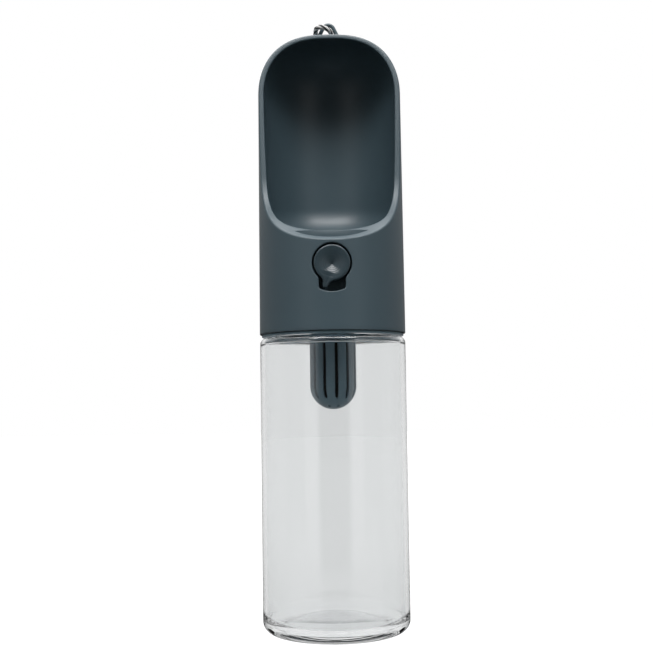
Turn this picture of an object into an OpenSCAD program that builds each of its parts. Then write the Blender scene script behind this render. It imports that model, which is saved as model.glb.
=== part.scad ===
// Travel water bottle for a dog: a clear bottle that screws into a hooded drinking scoop.
// A dial on the front is turned to free it, then pressed to let water up into the scoop.
// Millimetres, origin at the centre of the bottle's base, +Z up, the scoop opens towards -Y.

/* [Bottle] */
// Outer radius of the clear bottle
bottle_r = 33; // [32:0.5:34]
// Height of the bottle's shoulder above the floor
shoulder_z = 131.5; // [120:0.5:132]
// Thickness of the bottle's side wall
bottle_wall = 1.8; // [1.4:0.1:2.2]
// Radius of the rounding between base and side
base_round = 5.25; // [4:0.25:7]
// Height of the raised middle of the floor inside
punt_rise = 8.1; // [6:0.1:10]
// Outer radius of the neck
neck_r = 27; // [26.8:0.1:27.1]
// Height of the neck above the shoulder
neck_h = 12; // [11.5:0.1:12.1]

/* [Thread] */
// Rise of the thread in one turn
thread_lead = 4; // [3.6:0.1:4.2]
// How far each thread stands out of its wall
thread_depth = 1.2; // [1:0.1:1.2]
// Turns of thread on the neck
neck_turns = 1.25; // [1:0.25:1.5]
// Turns of thread in the closure
cap_turns = 1; // [0.75:0.25:1]

/* [Head shell] */
// Radius of the shell at its lower edge
shell_r_low = 33.1; // [32.8:0.1:33.4]
// Radius of the shell where the dome starts
shell_r_top = 32.7; // [32.4:0.1:33]
// Wall thickness of the shell
shell_wall = 2.5; // [2:0.1:2.8]
// Gap between the shell's lower edge and the bottle's shoulder
shell_gap = 1.4; // [1.2:0.1:2]
// Height at which the dome starts
dome_z = 243; // [240:0.5:246]
// Rise of the dome above that height
dome_rise = 29.8; // [29:0.1:30.2]
// Squareness of the dome's curve sideways, where 2 is an ellipse
dome_power = 2.7; // [2.4:0.1:2.8]
// Squareness of the dome's curve upwards, where 2 is an ellipse
dome_top_power = 2.1; // [2:0.05:2.3]
// Thickness of the dome at its top
dome_wall = 2.3; // [2:0.1:2.6]

/* [Scoop] */
// Height of the drinking lip at the very front
lip_z = 171.7; // [170.5:0.1:173]
// Height of the trough's floor at the front
floor_front_z = 176.4; // [175.5:0.1:178]
// Rise of the trough's floor from front to back
floor_rise = 2.5; // [1.5:0.5:4]
// Corner radius of the trough at the front
corner_front = 7; // [5:0.5:9]
// Corner radius of the trough at the back
corner_back = 18; // [14:0.5:19]
// Radius of the curve of the side rims
rim_arc_r = 41; // [40:0.5:42]

/* [Dial and button] */
// Height of the dial's axis
dial_z = 161.9; // [161.5:0.1:162]
// Radius of the dial
dial_r = 7.9; // [7.5:0.1:8.1]
// Thickness of the dial
dial_t = 4.3; // [4:0.1:4.5]
// Distance from the dial's axis to the tip of its pointer
pointer_reach = 11.4; // [10.5:0.1:11.6]
// Angle of the pointer at rest, from straight down
pointer_angle = 17; // [15:1:19]
// Radius of the dial's hole in the shell
dial_hole_r = 8.6; // [8.5:0.1:8.8]
// Half width of the window that the pointer sweeps
window_half = 5.8; // [5.6:0.1:6.2]
// Distance from the dial's axis to the lower edge of that window
window_reach = 12.4; // [12.2:0.1:13]
// Travel of the button when pressed
press_travel = 2.4; // [2:0.1:2.4]

/* [Valve] */
// Outer radius of the valve's barrel
barrel_r = 8; // [7.5:0.1:8.2]
// Radius of the valve's chamber
chamber_r = 5.5; // [5.3:0.1:5.6]
// Radius of the stem
stem_r = 1.6; // [1.5:0.1:1.7]
// Radius of the opening in the valve seat
seat_r = 3.4; // [3:0.1:3.6]
// Radius of the way in from the filter
inlet_r = 2.5; // [2:0.1:2.6]
// Radius of the way out to the trough
outlet_r = 1.8; // [1.5:0.1:2]
// Coils of the return spring
spring_coils = 6; // [4:1:7]
// Radius of the spring's wire
wire_r = 0.35; // [0.3:0.05:0.4]

/* [Filter] */
// Outer radius of the filter cage
cage_r = 10.5; // [10:0.1:10.5]
// Height of the cage's rounded bottom
cage_z = 99.05; // [95:0.5:105]
// Wall thickness of the cage
cage_wall = 1; // [0.8:0.1:1.1]
// Number of slots round the cage
slot_count = 12; // [8:1:16]
// Width of each slot
slot_w = 1.5; // [1:0.1:1.8]
// Turn of the ring of slots about the axis
slot_turn = -7; // [-14:1:0]
// Radius of the bore in the foam filter
filter_bore_r = 4.9; // [4:0.1:5.5]

/* [Lug and wrist loop] */
// Radius of the lug's arch at the middle of its bar
lug_r = 2.7; // [2.65:0.05:2.75]
// Radius of the lug's bar
lug_bar_r = 0.9; // [0.8:0.05:0.95]
// Outward lean of the lug's legs
lug_lean = 26; // [24:1:27]
// Height of the top of the lug
lug_top_z = 280.1; // [279.9:0.1:280.3]
// Distance of the lug behind the axis
lug_y = 7; // [6.9:0.05:7.1]
// Radius of the braided cord
cord_r = 1.1; // [1:0.05:1.15]

/* [Hidden] */
$fn = 96;

// Gap between parts that slide or turn in each other
run_gap = 0.05;
// Gap between parts that are only put together
fit_gap = 0.15;
// Overshoot of a cut past the face it opens
over = 1;

// Bottle and neck
neck_top = shoulder_z + neck_h;
neck_bore_r = neck_r - 2.2;
shoulder_round = 3;
foot_r = bottle_r - base_round;
inner_r = bottle_r - bottle_wall;

// Closure
skirt_bore_r = neck_r + thread_depth + 0.5;
skirt_r = 30.3;
flange_r = 32.2;
flange_z = shoulder_z + 0.3;
flange_t = 1;
gasket_t = 1.2;
gasket_z = neck_top + run_gap;
plate_z = gasket_z + gasket_t;
plate_t = 2.75;
plug_r = neck_bore_r - 0.4;
plug_wall = 2;
plug_z = shoulder_z + 0.1;
plug_floor_t = 2;
key_w = 3;
key_h = 10;

// Cage socket inside the closure
socket_bore_r = cage_r + fit_gap;
socket_r = socket_bore_r + 1.7;
socket_top = 145.3;
socket_lid_t = 2;
seal_r = 15.5;
seal_t = 1;
seal_lip_r = 12;
seal_lip_t = 1.4;

// Vent in the closure's floor
vent_y = 19.6;
vent_stem_r = 1.5;
vent_cap_r = 3.4;
vent_cap_t = 0.7;

// Cage and filter
cage_top = socket_top - socket_lid_t - 0.3;
cage_centre_z = cage_z + cage_r;
cage_inner_r = cage_r - cage_wall;
slot_low_z = 103.9;
slot_high_z = 129.5;
filter_r = cage_inner_r - 0.1;
filter_len = 42.5;
filter_bore_len = 30;

// Shell
shell_z = shoulder_z + shell_gap;
hollow_r = shell_r_top - shell_wall + 0.3;
trough_r = shell_r_top - shell_wall;
hollow_top_z = 203;
dome_steps = 18;
floor_tilt = atan(floor_rise / (2 * trough_r));

// Side curve of the scoop: an arc up from the lip, then a line that leans back to the top
rim_arc_y = -bottle_r - 17;
rim_arc_z = lip_z + 38.3;
rim_arc_end = 83;
rim_arc_start = acos((rim_arc_z - lip_z) / rim_arc_r);
rim_top_z = dome_z + dome_rise;

// Dial, stem and valve lie along one axis that runs front to back
dial_front = -32.9;
dial_back = dial_front + dial_t;
pocket_wall = 1.4;
pocket_floor = dial_back + press_travel + 0.2;
socket_depth = 1.9;
stem_head_r = 3.7;
stem_head_t = 0.8;
clip_t = 0.9;
barrel_front = pocket_floor + pocket_wall + 0.1;
barrel_back = 12;
seat_y = -7;
seat_t = 2;
poppet_r = 4.8;
poppet_t = 1.45;
washer_t = 1;
gland_t = 2.1;
ring_r = 0.7;
outlet_y = -19.3;
outlet_tube_r = 3.2;
outlet_top_z = floor_front_z - 0.4;
grommet_r = 4.4;
channel_r = 1.2;
cap_depth = 4;
cap_flange_t = 1.5;
spring_y = seat_y + run_gap + washer_t + poppet_t;
spring_end = barrel_back - cap_depth;
spring_r = 3.5;
foot_z = 150;
foot_t = 2;
foot_half = 18.8;
foot_deep = 6;
screw_x = 16;
screw_r = 1.2;
screw_head_r = 2.3;
screw_len = 9;
boss_r = 2.7;

// Route of the wrist loop: out of the lug, down behind the shell, back up and round the
// lug's left arm, ending face to face with its start inside the lug
cord_route = [
    [1.5, 7, 274.6], [1.9, 10.6, 273.7], [2.9, 15.2, 272.2], [4.1, 20.8, 269.5],
    [5.4, 27, 264.6], [6.5, 31.2, 257.5], [7.5, 33.5, 248], [8.4, 33.6, 236],
    [9.2, 33.4, 222], [10, 33.2, 207], [10.6, 33.1, 192], [10.8, 33.1, 178],
    [10.2, 33.2, 165], [8, 33.8, 155], [4.4, 34.4, 148.6], [0, 34.6, 146.4],
    [-4.4, 34.4, 148.6], [-8, 33.8, 155], [-10.2, 33.2, 165], [-10.8, 33.1, 178],
    [-10.6, 33.3, 192], [-10.1, 33.7, 207], [-9.5, 33.4, 222], [-9, 33.3, 236],
    [-8.7, 33.1, 248], [-8.5, 30.9, 257.5], [-8.1, 26.4, 264.4], [-7.4, 20.8, 269.2],
    [-6.6, 15.6, 272.5], [-6, 11, 275.4], [-5.7, 7, 277], [-4.8, 4.7, 277.4],
    [-2.8, 3.3, 277.1], [-0.6, 3.4, 276.3], [1, 4.8, 275.3], [1.5, 7, 274.6]
];
cord_steps = 2;
cord_sides = 8;
sleeve_r = 1.8;
sleeve_len = 9;
sleeve_at = [-10.1, 33.7, 207];

// Points on an arc, from angle a0 to a1 in n steps
function arc(cx, cy, r, a0, a1, n = 8) =
    [for (i = [0:n]) let (a = a0 + (a1 - a0) * i / n) [cx + r * cos(a), cy + r * sin(a)]];

// Half of a rounded dome in section, from its foot to its top
function dome(r, z, rise) =
    [for (i = [0:dome_steps]) let (a = 90 * i / dome_steps)
        [r * pow(cos(a), 2 / dome_power), z + rise * pow(sin(a), 2 / dome_top_power)]];

function unit(v) = v / norm(v);

// Direction of a line of points at point i
function heading(p, i) = unit(p[min(i + 1, len(p) - 1)] - p[max(i - 1, 0)]);

// One sideways direction for each point, carried along the line without twisting
function sideways(p, u, i = 0) =
    i == len(p) ? [] :
    let (t = heading(p, i), v = unit(u - (u * t) * t)) concat([v], sideways(p, v, i + 1));

// Smooth curve through points: a cubic between each pair, its slope set by the neighbours
function between(a, b, c, d, s) =
    0.5 * (2 * b + (c - a) * s + (2 * a - 5 * b + 4 * c - d) * s * s
        + (3 * b - 3 * c + d - a) * s * s * s);
function smooth(p, steps) = concat(
    [for (i = [0:len(p) - 2], k = [0:steps - 1])
        between(p[max(i - 1, 0)], p[i], p[i + 1], p[min(i + 2, len(p) - 1)], k / steps)],
    [p[len(p) - 1]]);

// Closed skin over n rings of m points each, with flat ends
module skin(rings) {
    n = len(rings);
    m = len(rings[0]);
    polyhedron(
        points = [for (ring = rings) each ring],
        faces = concat(
            [for (i = [0:n - 2], j = [0:m - 1])
                [i * m + j, i * m + (j + 1) % m, (i + 1) * m + j]],
            [for (i = [0:n - 2], j = [0:m - 1])
                [i * m + (j + 1) % m, (i + 1) * m + (j + 1) % m, (i + 1) * m + j]],
            [[for (j = [m - 1:-1:0]) j]],
            [[for (j = [0:m - 1]) (n - 1) * m + j]]),
        convexity = 6);
}

// Round tube along a line of points
module tube(p, r, sides, u) {
    v = sideways(p, u);
    skin([for (i = [0:len(p) - 1])
        let (t = heading(p, i), w = cross(t, v[i]))
        [for (j = [0:sides - 1]) let (a = -360 * j / sides)
            p[i] + r * (cos(a) * v[i] + sin(a) * w)]]);
}

// Screw thread: a tapered ridge that climbs round the axis, from its root to its crest
module thread(root, crest, root_half, crest_half, z, turns) {
    steps = ceil(24 * turns);
    side = sign(crest - root);
    skin([for (i = [0:steps])
        let (a = 360 * turns * i / steps, h = z + thread_lead * a / 360,
            fade = min(1, min(i, steps - i) / 2 + 0.25), c = root + (crest - root) * fade)
        [for (q = [[root, root_half], [c, crest_half], [c, -crest_half], [root, -root_half]])
            [q[0] * cos(a), q[0] * sin(a), h - side * q[1]]]]);
}

// Turned shape on the dial's axis: its profile's second number runs from front to back
module turned(y = 0) {
    translate([0, y, dial_z]) rotate([-90, 0, 0]) rotate_extrude() children();
}

// Plain round bar on the dial's axis
module bar(r, y0, y1) {
    translate([0, y0, dial_z]) rotate([-90, 0, 0]) cylinder(r = r, h = y1 - y0);
}

// Ring of round section
module o_ring(mid_r, sec_r) {
    rotate_extrude() translate([mid_r, 0]) circle(r = sec_r, $fn = 24);
}

// Clear bottle: a thick raised base, straight side, shoulder, and neck with a thread
module bottle() {
    color([0.86, 0.88, 0.9, 0.35]) union() {
        rotate_extrude() polygon(concat(
            [[0, 5.2], [12, 4.4], [22, 1.6], [25, 0]],
            arc(foot_r, base_round, base_round, -90, 0),
            arc(bottle_r - shoulder_round, shoulder_z - shoulder_round, shoulder_round, 0, 90, 6),
            [[neck_r, shoulder_z], [neck_r, neck_top - 0.6], [neck_r - 0.6, neck_top]],
            [[neck_bore_r, neck_top], [neck_bore_r, shoulder_z - bottle_wall]],
            arc(inner_r - 2.2, shoulder_z - bottle_wall - 2.2, 2.2, 90, 0, 6),
            arc(inner_r - 6, 9.4, 6, 0, -80),
            [[20, 5.1], [12, 7.1], [5, 7.9], [0, punt_rise]]));
        thread(neck_r - 0.3, neck_r + thread_depth, 1.1, 0.5, shoulder_z + 4.2, neck_turns);
    }
}

// Soft flat ring that the neck's rim closes against
module neck_gasket() {
    color("dimgray") translate([0, 0, gasket_z]) rotate_extrude()
        translate([neck_bore_r + 0.1, 0]) square([skirt_bore_r - neck_bore_r - 0.25, gasket_t - 0.02]);
}

// Closure: threaded skirt, plug in the neck, and a deep socket for the filter cage
module inner_cap() {
    color([0.3, 0.33, 0.35]) difference() {
        union() {
            rotate_extrude() polygon([
                [skirt_bore_r, flange_z], [flange_r, flange_z], [flange_r, flange_z + flange_t],
                [skirt_r, flange_z + flange_t], [skirt_r, plate_z + plate_t],
                [plug_r - plug_wall, plate_z + plate_t], [plug_r - plug_wall, plug_z + plug_floor_t],
                [socket_r, plug_z + plug_floor_t], [socket_r, socket_top], [inlet_r, socket_top],
                [inlet_r, socket_top - socket_lid_t], [socket_bore_r, socket_top - socket_lid_t],
                [socket_bore_r, plug_z + seal_lip_t], [seal_lip_r, plug_z + seal_lip_t],
                [seal_lip_r, plug_z], [plug_r, plug_z], [plug_r, plate_z], [skirt_bore_r, plate_z]]);
            thread(skirt_bore_r + 0.3, skirt_bore_r - thread_depth, 1.1, 0.5,
                shoulder_z + 4.2 + thread_lead / 2, cap_turns);
            for (side = [-1, 1]) translate([side * screw_x, 0, plug_z + plug_floor_t - 0.5])
                cylinder(r = boss_r, h = foot_z - plug_z - plug_floor_t + 0.5);
        }
        for (side = [-1, 1]) {
            translate([side * screw_x, 0, foot_z - screw_len]) cylinder(r = screw_r + run_gap, h = 20);
            translate([side * skirt_r, 0, plate_z + plate_t / 2 + over])
                cube([4, key_w + 0.4, plate_t + 2 * over], center = true);
        }
        translate([0, vent_y, plug_z - over]) cylinder(r = vent_stem_r + run_gap, h = 5);
    }
}

// White ring in the mouth of the socket, a lip round the cage and a flat flange
module cage_seal() {
    color("white") translate([0, 0, plug_z]) rotate_extrude() polygon([
        [cage_r + run_gap, -seal_t], [seal_r, -seal_t], [seal_r, -0.02], [seal_lip_r - 0.05, -0.02],
        [seal_lip_r - 0.05, seal_lip_t - 0.05], [cage_r + run_gap, seal_lip_t - 0.05]]);
}

// Small umbrella valve that lets air into the bottle
module vent_valve() {
    color("gray") translate([0, vent_y, plug_z]) rotate_extrude() polygon([
        [0, -vent_cap_t - 0.5], [1, -vent_cap_t - 0.4], [vent_cap_r, -0.35], [vent_cap_r, -0.02],
        [vent_stem_r, -0.02], [vent_stem_r, plug_floor_t + 0.02],
        [vent_stem_r + 0.5, plug_floor_t + 0.02],
        [vent_stem_r, plug_floor_t + 1.2], [0, plug_floor_t + 1.6]]);
}

// Slotted cage with a round bottom that holds the foam filter
module filter_cage() {
    color([0.32, 0.36, 0.38]) difference() {
        capsule(cage_r, cage_centre_z, cage_top);
        capsule(cage_inner_r, cage_centre_z, cage_top + over);
        for (i = [0:slot_count - 1]) rotate([0, 0, 360 * (i + 0.5) / slot_count + slot_turn])
            translate([cage_r - 4, -slot_w / 2, slot_low_z])
                cube([6, slot_w, slot_high_z - slot_low_z]);
        for (side = [-1, 1]) translate([side * 1.9, -5, cage_z - over])
            cylinder(r = 0.7, h = 6, $fn = 24);
    }
}

// Upright bullet shape with its round end down
module capsule(r, centre_z, top_z) {
    translate([0, 0, centre_z]) {
        cylinder(r = r, h = top_z - centre_z);
        intersection() {
            sphere(r = r);
            translate([0, 0, -r]) cylinder(r = r + over, h = r);
        }
    }
}

// Black foam filter, bored from the top
module filter_element() {
    low = cage_z + cage_wall + 0.1;
    color("black") difference() {
        capsule(filter_r, low + filter_r, low + filter_len);
        translate([0, 0, low + filter_len - filter_bore_len])
            cylinder(r = filter_bore_r, h = filter_bore_len + over);
    }
}

// Space swept by a ring of balls with larger ones at the back, grown by g
module trough_form(g, top_z) {
    hull() {
        for (i = [0:23]) {
            a = 15 * i;
            back = (1 - cos(a)) / 2;
            r = corner_front + (corner_back - corner_front) * back;
            reach = trough_r + 0.3 - r;
            y = -reach * cos(a);
            translate([reach * sin(a), y, floor_z(y) + r]) sphere(r = r + g, $fn = 32);
        }
        translate([0, 0, top_z - 1]) cylinder(r = trough_r + 0.3 + g, h = 1);
    }
}

// Height of the sloping floor at a distance y from the axis
function floor_z(y) = floor_front_z + (y + trough_r - corner_front) * tan(floor_tilt);

// Outside of the head: a slightly tapered tube with a squarish dome
module shell_outer() {
    rotate_extrude() polygon(concat([[0, shell_z], [shell_r_low, shell_z]],
        dome(shell_r_top, dome_z, dome_rise)));
}

// Inside of the hood and trough
module shell_cavity() {
    intersection() {
        rotate_extrude() polygon(concat([[0, floor_front_z - 5], [trough_r, floor_front_z - 5]],
            dome(trough_r, dome_z, dome_rise - dome_wall)));
        trough_form(0, rim_top_z);
    }
}

// Everything in front of the scoop's side curve
module front_cut() {
    rim_end = [rim_arc_y + rim_arc_r * sin(rim_arc_end), rim_arc_z - rim_arc_r * cos(rim_arc_end)];
    translate([-60, 0, 0]) rotate([90, 0, 90]) linear_extrude(120) polygon(concat(
        [[-60, lip_z]],
        arc(rim_arc_y, rim_arc_z, rim_arc_r, rim_arc_start - 90, rim_arc_end - 90, 16),
        [rim_end, [0.4, rim_top_z], [0.4, rim_top_z + 10], [-60, rim_top_z + 10]]));
}

// Outline of the dial's hole and the window below it, grown by g
module dial_opening(g) {
    circle(r = dial_hole_r + g);
    intersection() {
        circle(r = window_reach + g);
        translate([-window_half - g, -window_reach - 5]) square([2 * (window_half + g), window_reach + 5]);
    }
}

// Front to back prism on the dial's axis from a front view outline
module front_prism(y0, y1) {
    translate([0, y1, dial_z]) rotate([90, 0, 0]) linear_extrude(y1 - y0) children();
}

// One-piece head: tapered skirt, hooded trough, dial pocket and lug
module scoop_shell() {
    color([0.27, 0.31, 0.33]) {
        difference() {
            union() {
                difference() {
                    shell_outer();
                    translate([0, 0, shell_z - over]) cylinder(r = hollow_r, h = hollow_top_z - shell_z + over);
                }
                intersection() {
                    translate([0, 0, shell_z]) cylinder(r = hollow_r + over, h = hollow_top_z - shell_z);
                    trough_form(shell_wall, hollow_top_z + 20);
                }
                intersection() {
                    front_prism(-bottle_r, pocket_floor + pocket_wall) dial_opening(pocket_wall);
                    cylinder(r = hollow_r + over, h = 400);
                }
                for (side = [-1, 1]) translate([side * (hollow_r - 0.4), 0, plate_z + 0.4 + key_h / 2])
                    cube([2, key_w, key_h], center = true);
            }
            shell_cavity();
            front_cut();
            front_prism(-bottle_r - 5, pocket_floor) dial_opening(0);
            bar(stem_r + 0.6, pocket_floor - over, pocket_floor + pocket_wall + over);
            translate([0, outlet_y, dial_z + 5]) cylinder(r = grommet_r - 1 + run_gap, h = 20);
            translate([0, outlet_y, floor_front_z - 1]) cylinder(r = grommet_r + run_gap, h = 6);
            translate([0, -trough_r + 1, floor_front_z - 1 + channel_r]) rotate([-90, 0, 0])
                cylinder(r = channel_r, h = trough_r - 1 + outlet_y, $fn = 24);
        }
        lug();
    }
}

// Arch behind the top of the hood that the wrist loop goes through
module lug() {
    centre_z = lug_top_z - lug_bar_r - lug_r;
    leg_z = centre_z + lug_r * sin(lug_lean);
    foot = dome_z + dome_rise - 2;
    translate([0, lug_y, centre_z]) rotate([90, 0, 0]) rotate([0, 0, lug_lean])
        rotate_extrude(angle = 180 - 2 * lug_lean) translate([lug_r, 0]) circle(r = lug_bar_r, $fn = 32);
    for (side = [-1, 1]) translate([side * lug_r * cos(lug_lean), lug_y, leg_z])
        rotate([0, side * (180 - lug_lean), 0])
            cylinder(r = lug_bar_r, h = (leg_z - foot) / cos(lug_lean), $fn = 32);
}

// Soft nozzle ring in the trough's floor
module outlet_grommet() {
    color("dimgray") translate([0, outlet_y, floor_front_z - 1]) difference() {
        rotate_extrude() polygon([
            [outlet_tube_r - 0.9, -3], [grommet_r - 1, -3], [grommet_r - 1, 0.02], [grommet_r, 0.02],
            [grommet_r, 0.9], [outlet_r, 0.9], [outlet_r, 0.3], [outlet_tube_r - 0.9, 0.3]]);
    }
}

// Valve: a barrel from front to back, with the way in below and the way out above
module valve_body() {
    color([0.8, 0.8, 0.78]) difference() {
        union() {
            bar(barrel_r, barrel_front, barrel_back);
            translate([0, 0, socket_top + 0.02]) cylinder(r = inlet_r + 2.4, h = dial_z - socket_top);
            translate([0, outlet_y, dial_z]) cylinder(r = outlet_tube_r - 1, h = outlet_top_z - dial_z - 1.2);
            translate([-foot_half, -foot_deep, foot_z]) cube([2 * foot_half, 2 * foot_deep, foot_t]);
            translate([-1, -foot_deep - 8, foot_z + 1]) cube([2, 2 * foot_deep + 14, dial_z - foot_z - 5]);
        }
        bar(chamber_r, barrel_front - over, seat_y - seat_t);
        bar(seat_r, seat_y - seat_t - over, seat_y + over);
        bar(chamber_r, seat_y, barrel_back + over);
        translate([0, 0, socket_top - over]) cylinder(r = inlet_r, h = dial_z - socket_top);
        translate([0, 0, socket_top]) cylinder(r = inlet_r + 1.45, h = 1.2);
        translate([0, outlet_y, dial_z]) cylinder(r = outlet_r - 0.6, h = 30);
        for (side = [-1, 1]) translate([side * screw_x, 0, foot_z - over])
            cylinder(r = screw_r + 0.2, h = foot_t + 2 * over);
    }
}

// Ring between the valve's inlet and the socket
module inlet_seal() {
    color("black") translate([0, 0, socket_top + 0.62]) o_ring(inlet_r + 0.72, 0.58);
}

// Two screws that hold the valve down on the closure
module valve_screws() {
    color("silver") for (side = [-1, 1]) translate([side * screw_x, 0, foot_z + foot_t]) difference() {
        union() {
            translate([0, 0, run_gap]) cylinder(r = screw_head_r, h = 1.6);
            translate([0, 0, -foot_t - screw_len + 1]) cylinder(r = screw_r, h = foot_t + screw_len);
        }
        for (a = [0, 90]) rotate([0, 0, a]) translate([-1.4, -0.3, 1]) cube([2.8, 0.6, 2]);
    }
}

// Bush that closes the front of the chamber and guides the stem
module gland_bush() {
    color([0.6, 0.6, 0.58]) turned(barrel_front) polygon([
        [stem_r + run_gap, 0], [chamber_r - run_gap, 0], [chamber_r - run_gap, gland_t],
        [2 * ring_r + stem_r + 0.1, gland_t], [2 * ring_r + stem_r + 0.1, gland_t - 2 * ring_r - 0.1],
        [stem_r + run_gap, gland_t - 2 * ring_r - 0.1]]);
}

// Ring that seals the stem in the bush
module stem_seal() {
    color("black") translate([0, barrel_front + gland_t - ring_r - 0.05, dial_z]) rotate([90, 0, 0])
        o_ring(stem_r + run_gap + ring_r, ring_r);
}

// Plug at the back of the chamber that the spring pushes against
module spring_cap() {
    color([0.6, 0.6, 0.58]) turned(spring_end) polygon([
        [0, 0], [chamber_r - run_gap, 0], [chamber_r - run_gap, 1.2], [chamber_r - 1, 1.2],
        [chamber_r - 1, 2.6], [chamber_r - run_gap, 2.6], [chamber_r - run_gap, cap_depth + 0.02],
        [barrel_r - 0.6, cap_depth + 0.02], [barrel_r - 0.6, cap_depth + cap_flange_t],
        [0, cap_depth + cap_flange_t]]);
}

// Ring in the groove of the plug
module spring_cap_seal() {
    color("black") translate([0, spring_end + 1.9, dial_z]) rotate([90, 0, 0])
        o_ring(chamber_r - 0.47, 0.45);
}

// Coil spring that brings the button back
module return_spring() {
    steps = 12 * spring_coils;
    start = spring_y + wire_r + 0.02;
    run = spring_end - spring_y - 2 * wire_r - 0.04;
    coil = [for (i = [0:steps]) let (a = 30 * i)
        [spring_r * cos(a), start + run * i / steps, dial_z + spring_r * sin(a)]];
    color("silver") tube(coil, wire_r, 6, [1, 0, 0]);
}

// Stem with a head inside the dial and a disc that opens the seat
module valve_stem() {
    head_y = dial_back - socket_depth + run_gap;
    color([0.75, 0.75, 0.72]) {
        bar(stem_head_r, head_y, head_y + stem_head_t);
        bar(stem_r, head_y, seat_y + washer_t + run_gap);
        bar(poppet_r, seat_y + washer_t + run_gap, spring_y);
    }
}

// Soft washer on the front of the disc
module poppet_seal() {
    color("black") turned(seat_y + run_gap) polygon([
        [stem_r + 0.03, 0], [poppet_r - 0.2, 0], [poppet_r - 0.2, washer_t - 0.02],
        [stem_r + 0.03, washer_t - 0.02]]);
}

// Dished dial with a pointer, turned a little to the left of straight down
module button_dial() {
    color([0.33, 0.38, 0.4]) difference() {
        union() {
            turned(dial_front) polygon(concat(
                [[0, 1.8], [0.8, 1.39], [2, 0.88], [3.5, 0.42], [4.8, 0.2], [5.8, 0.12]],
                [[6.4, 0.02], [7.2, 0.05]],
                arc(dial_r - 0.7, 0.75, 0.7, -70, 0, 4),
                [[dial_r, dial_t], [0, dial_t]]));
            front_prism(dial_front + 0.6, dial_back) rotate([0, 0, -pointer_angle]) pointer();
        }
        bar(stem_head_r + 0.2, dial_back - socket_depth, dial_back + over);
    }
}

// Flat outline of the pointer, straight down from the dial
module pointer() {
    tip = 1.25;
    difference() {
        union() {
            translate([0, -pointer_reach + tip]) circle(r = tip, $fn = 32);
            polygon([[-tip, -pointer_reach + tip], [tip, -pointer_reach + tip],
                [2.1, -9], [4.6, -6], [-4.6, -6], [-2.1, -9]]);
        }
        circle(r = dial_r - 1.2);
    }
}

// Ring pressed into the dial's back that keeps it on the stem's head
module dial_clip() {
    color("silver") turned(dial_back - clip_t - run_gap) polygon([
        [stem_r + 0.15, 0], [stem_head_r + 0.17, 0], [stem_head_r + 0.17, clip_t],
        [stem_r + 0.15, clip_t]]);
}

// Braided wrist loop in one piece
module wrist_cord() {
    color("gray") tube(smooth(cord_route, cord_steps), cord_r, cord_sides, [0, 0, 1]);
}

// Short sleeve on the loop where its two ends are joined
module cord_sleeve() {
    color("dimgray") translate(sleeve_at) rotate([-0.6, 2.1, 0]) cylinder(r = sleeve_r, h = sleeve_len, center = true);
}

bottle();
neck_gasket();
inner_cap();
cage_seal();
vent_valve();
filter_cage();
filter_element();
scoop_shell();
outlet_grommet();
valve_body();
inlet_seal();
valve_screws();
gland_bush();
stem_seal();
spring_cap();
spring_cap_seal();
return_spring();
valve_stem();
poppet_seal();
button_dial();
dial_clip();
wrist_cord();
cord_sleeve();
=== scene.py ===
import math

import bmesh
import bpy
import numpy as np
from mathutils import Matrix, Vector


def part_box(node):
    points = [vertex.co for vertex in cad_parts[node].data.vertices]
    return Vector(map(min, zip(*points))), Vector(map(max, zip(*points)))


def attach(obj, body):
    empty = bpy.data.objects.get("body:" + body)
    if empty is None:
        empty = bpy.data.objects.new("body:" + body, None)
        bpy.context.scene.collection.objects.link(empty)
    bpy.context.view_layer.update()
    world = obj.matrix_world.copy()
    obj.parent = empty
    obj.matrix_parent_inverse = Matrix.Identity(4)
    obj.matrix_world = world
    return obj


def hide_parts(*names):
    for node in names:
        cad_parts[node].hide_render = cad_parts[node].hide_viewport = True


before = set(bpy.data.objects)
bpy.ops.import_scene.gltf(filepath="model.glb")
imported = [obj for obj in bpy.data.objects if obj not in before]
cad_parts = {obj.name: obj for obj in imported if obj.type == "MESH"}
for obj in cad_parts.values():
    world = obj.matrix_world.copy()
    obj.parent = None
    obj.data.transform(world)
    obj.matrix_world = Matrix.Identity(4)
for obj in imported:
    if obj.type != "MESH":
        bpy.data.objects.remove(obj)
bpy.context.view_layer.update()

# Camera: the photograph is taken from the front, at about a third of the object's height, and
# looks up by a few degrees. Lengths in this script are millimetres unless a name says metres.
PHOTO_HEIGHT_PX = 668
FOCAL_PX = 1083
CAMERA_AT_M = (-0.00279, -0.493, 0.1028)
LOOKS_UP_DEG = 3.53
ROLL_DEG = 0.83
camera_data = bpy.data.cameras.new("camera")
camera_data.sensor_fit = "VERTICAL"
camera_data.sensor_height = 24
camera_data.lens = FOCAL_PX / PHOTO_HEIGHT_PX * camera_data.sensor_height
camera = bpy.data.objects.new("camera", camera_data)
camera.matrix_world = (
    Matrix.Translation(CAMERA_AT_M)
    @ Matrix.Rotation(math.radians(90 + LOOKS_UP_DEG), 4, "X")
    @ Matrix.Rotation(math.radians(-ROLL_DEG), 4, "Z"))
bpy.context.scene.collection.objects.link(camera)
bpy.context.scene.camera = camera

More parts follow.
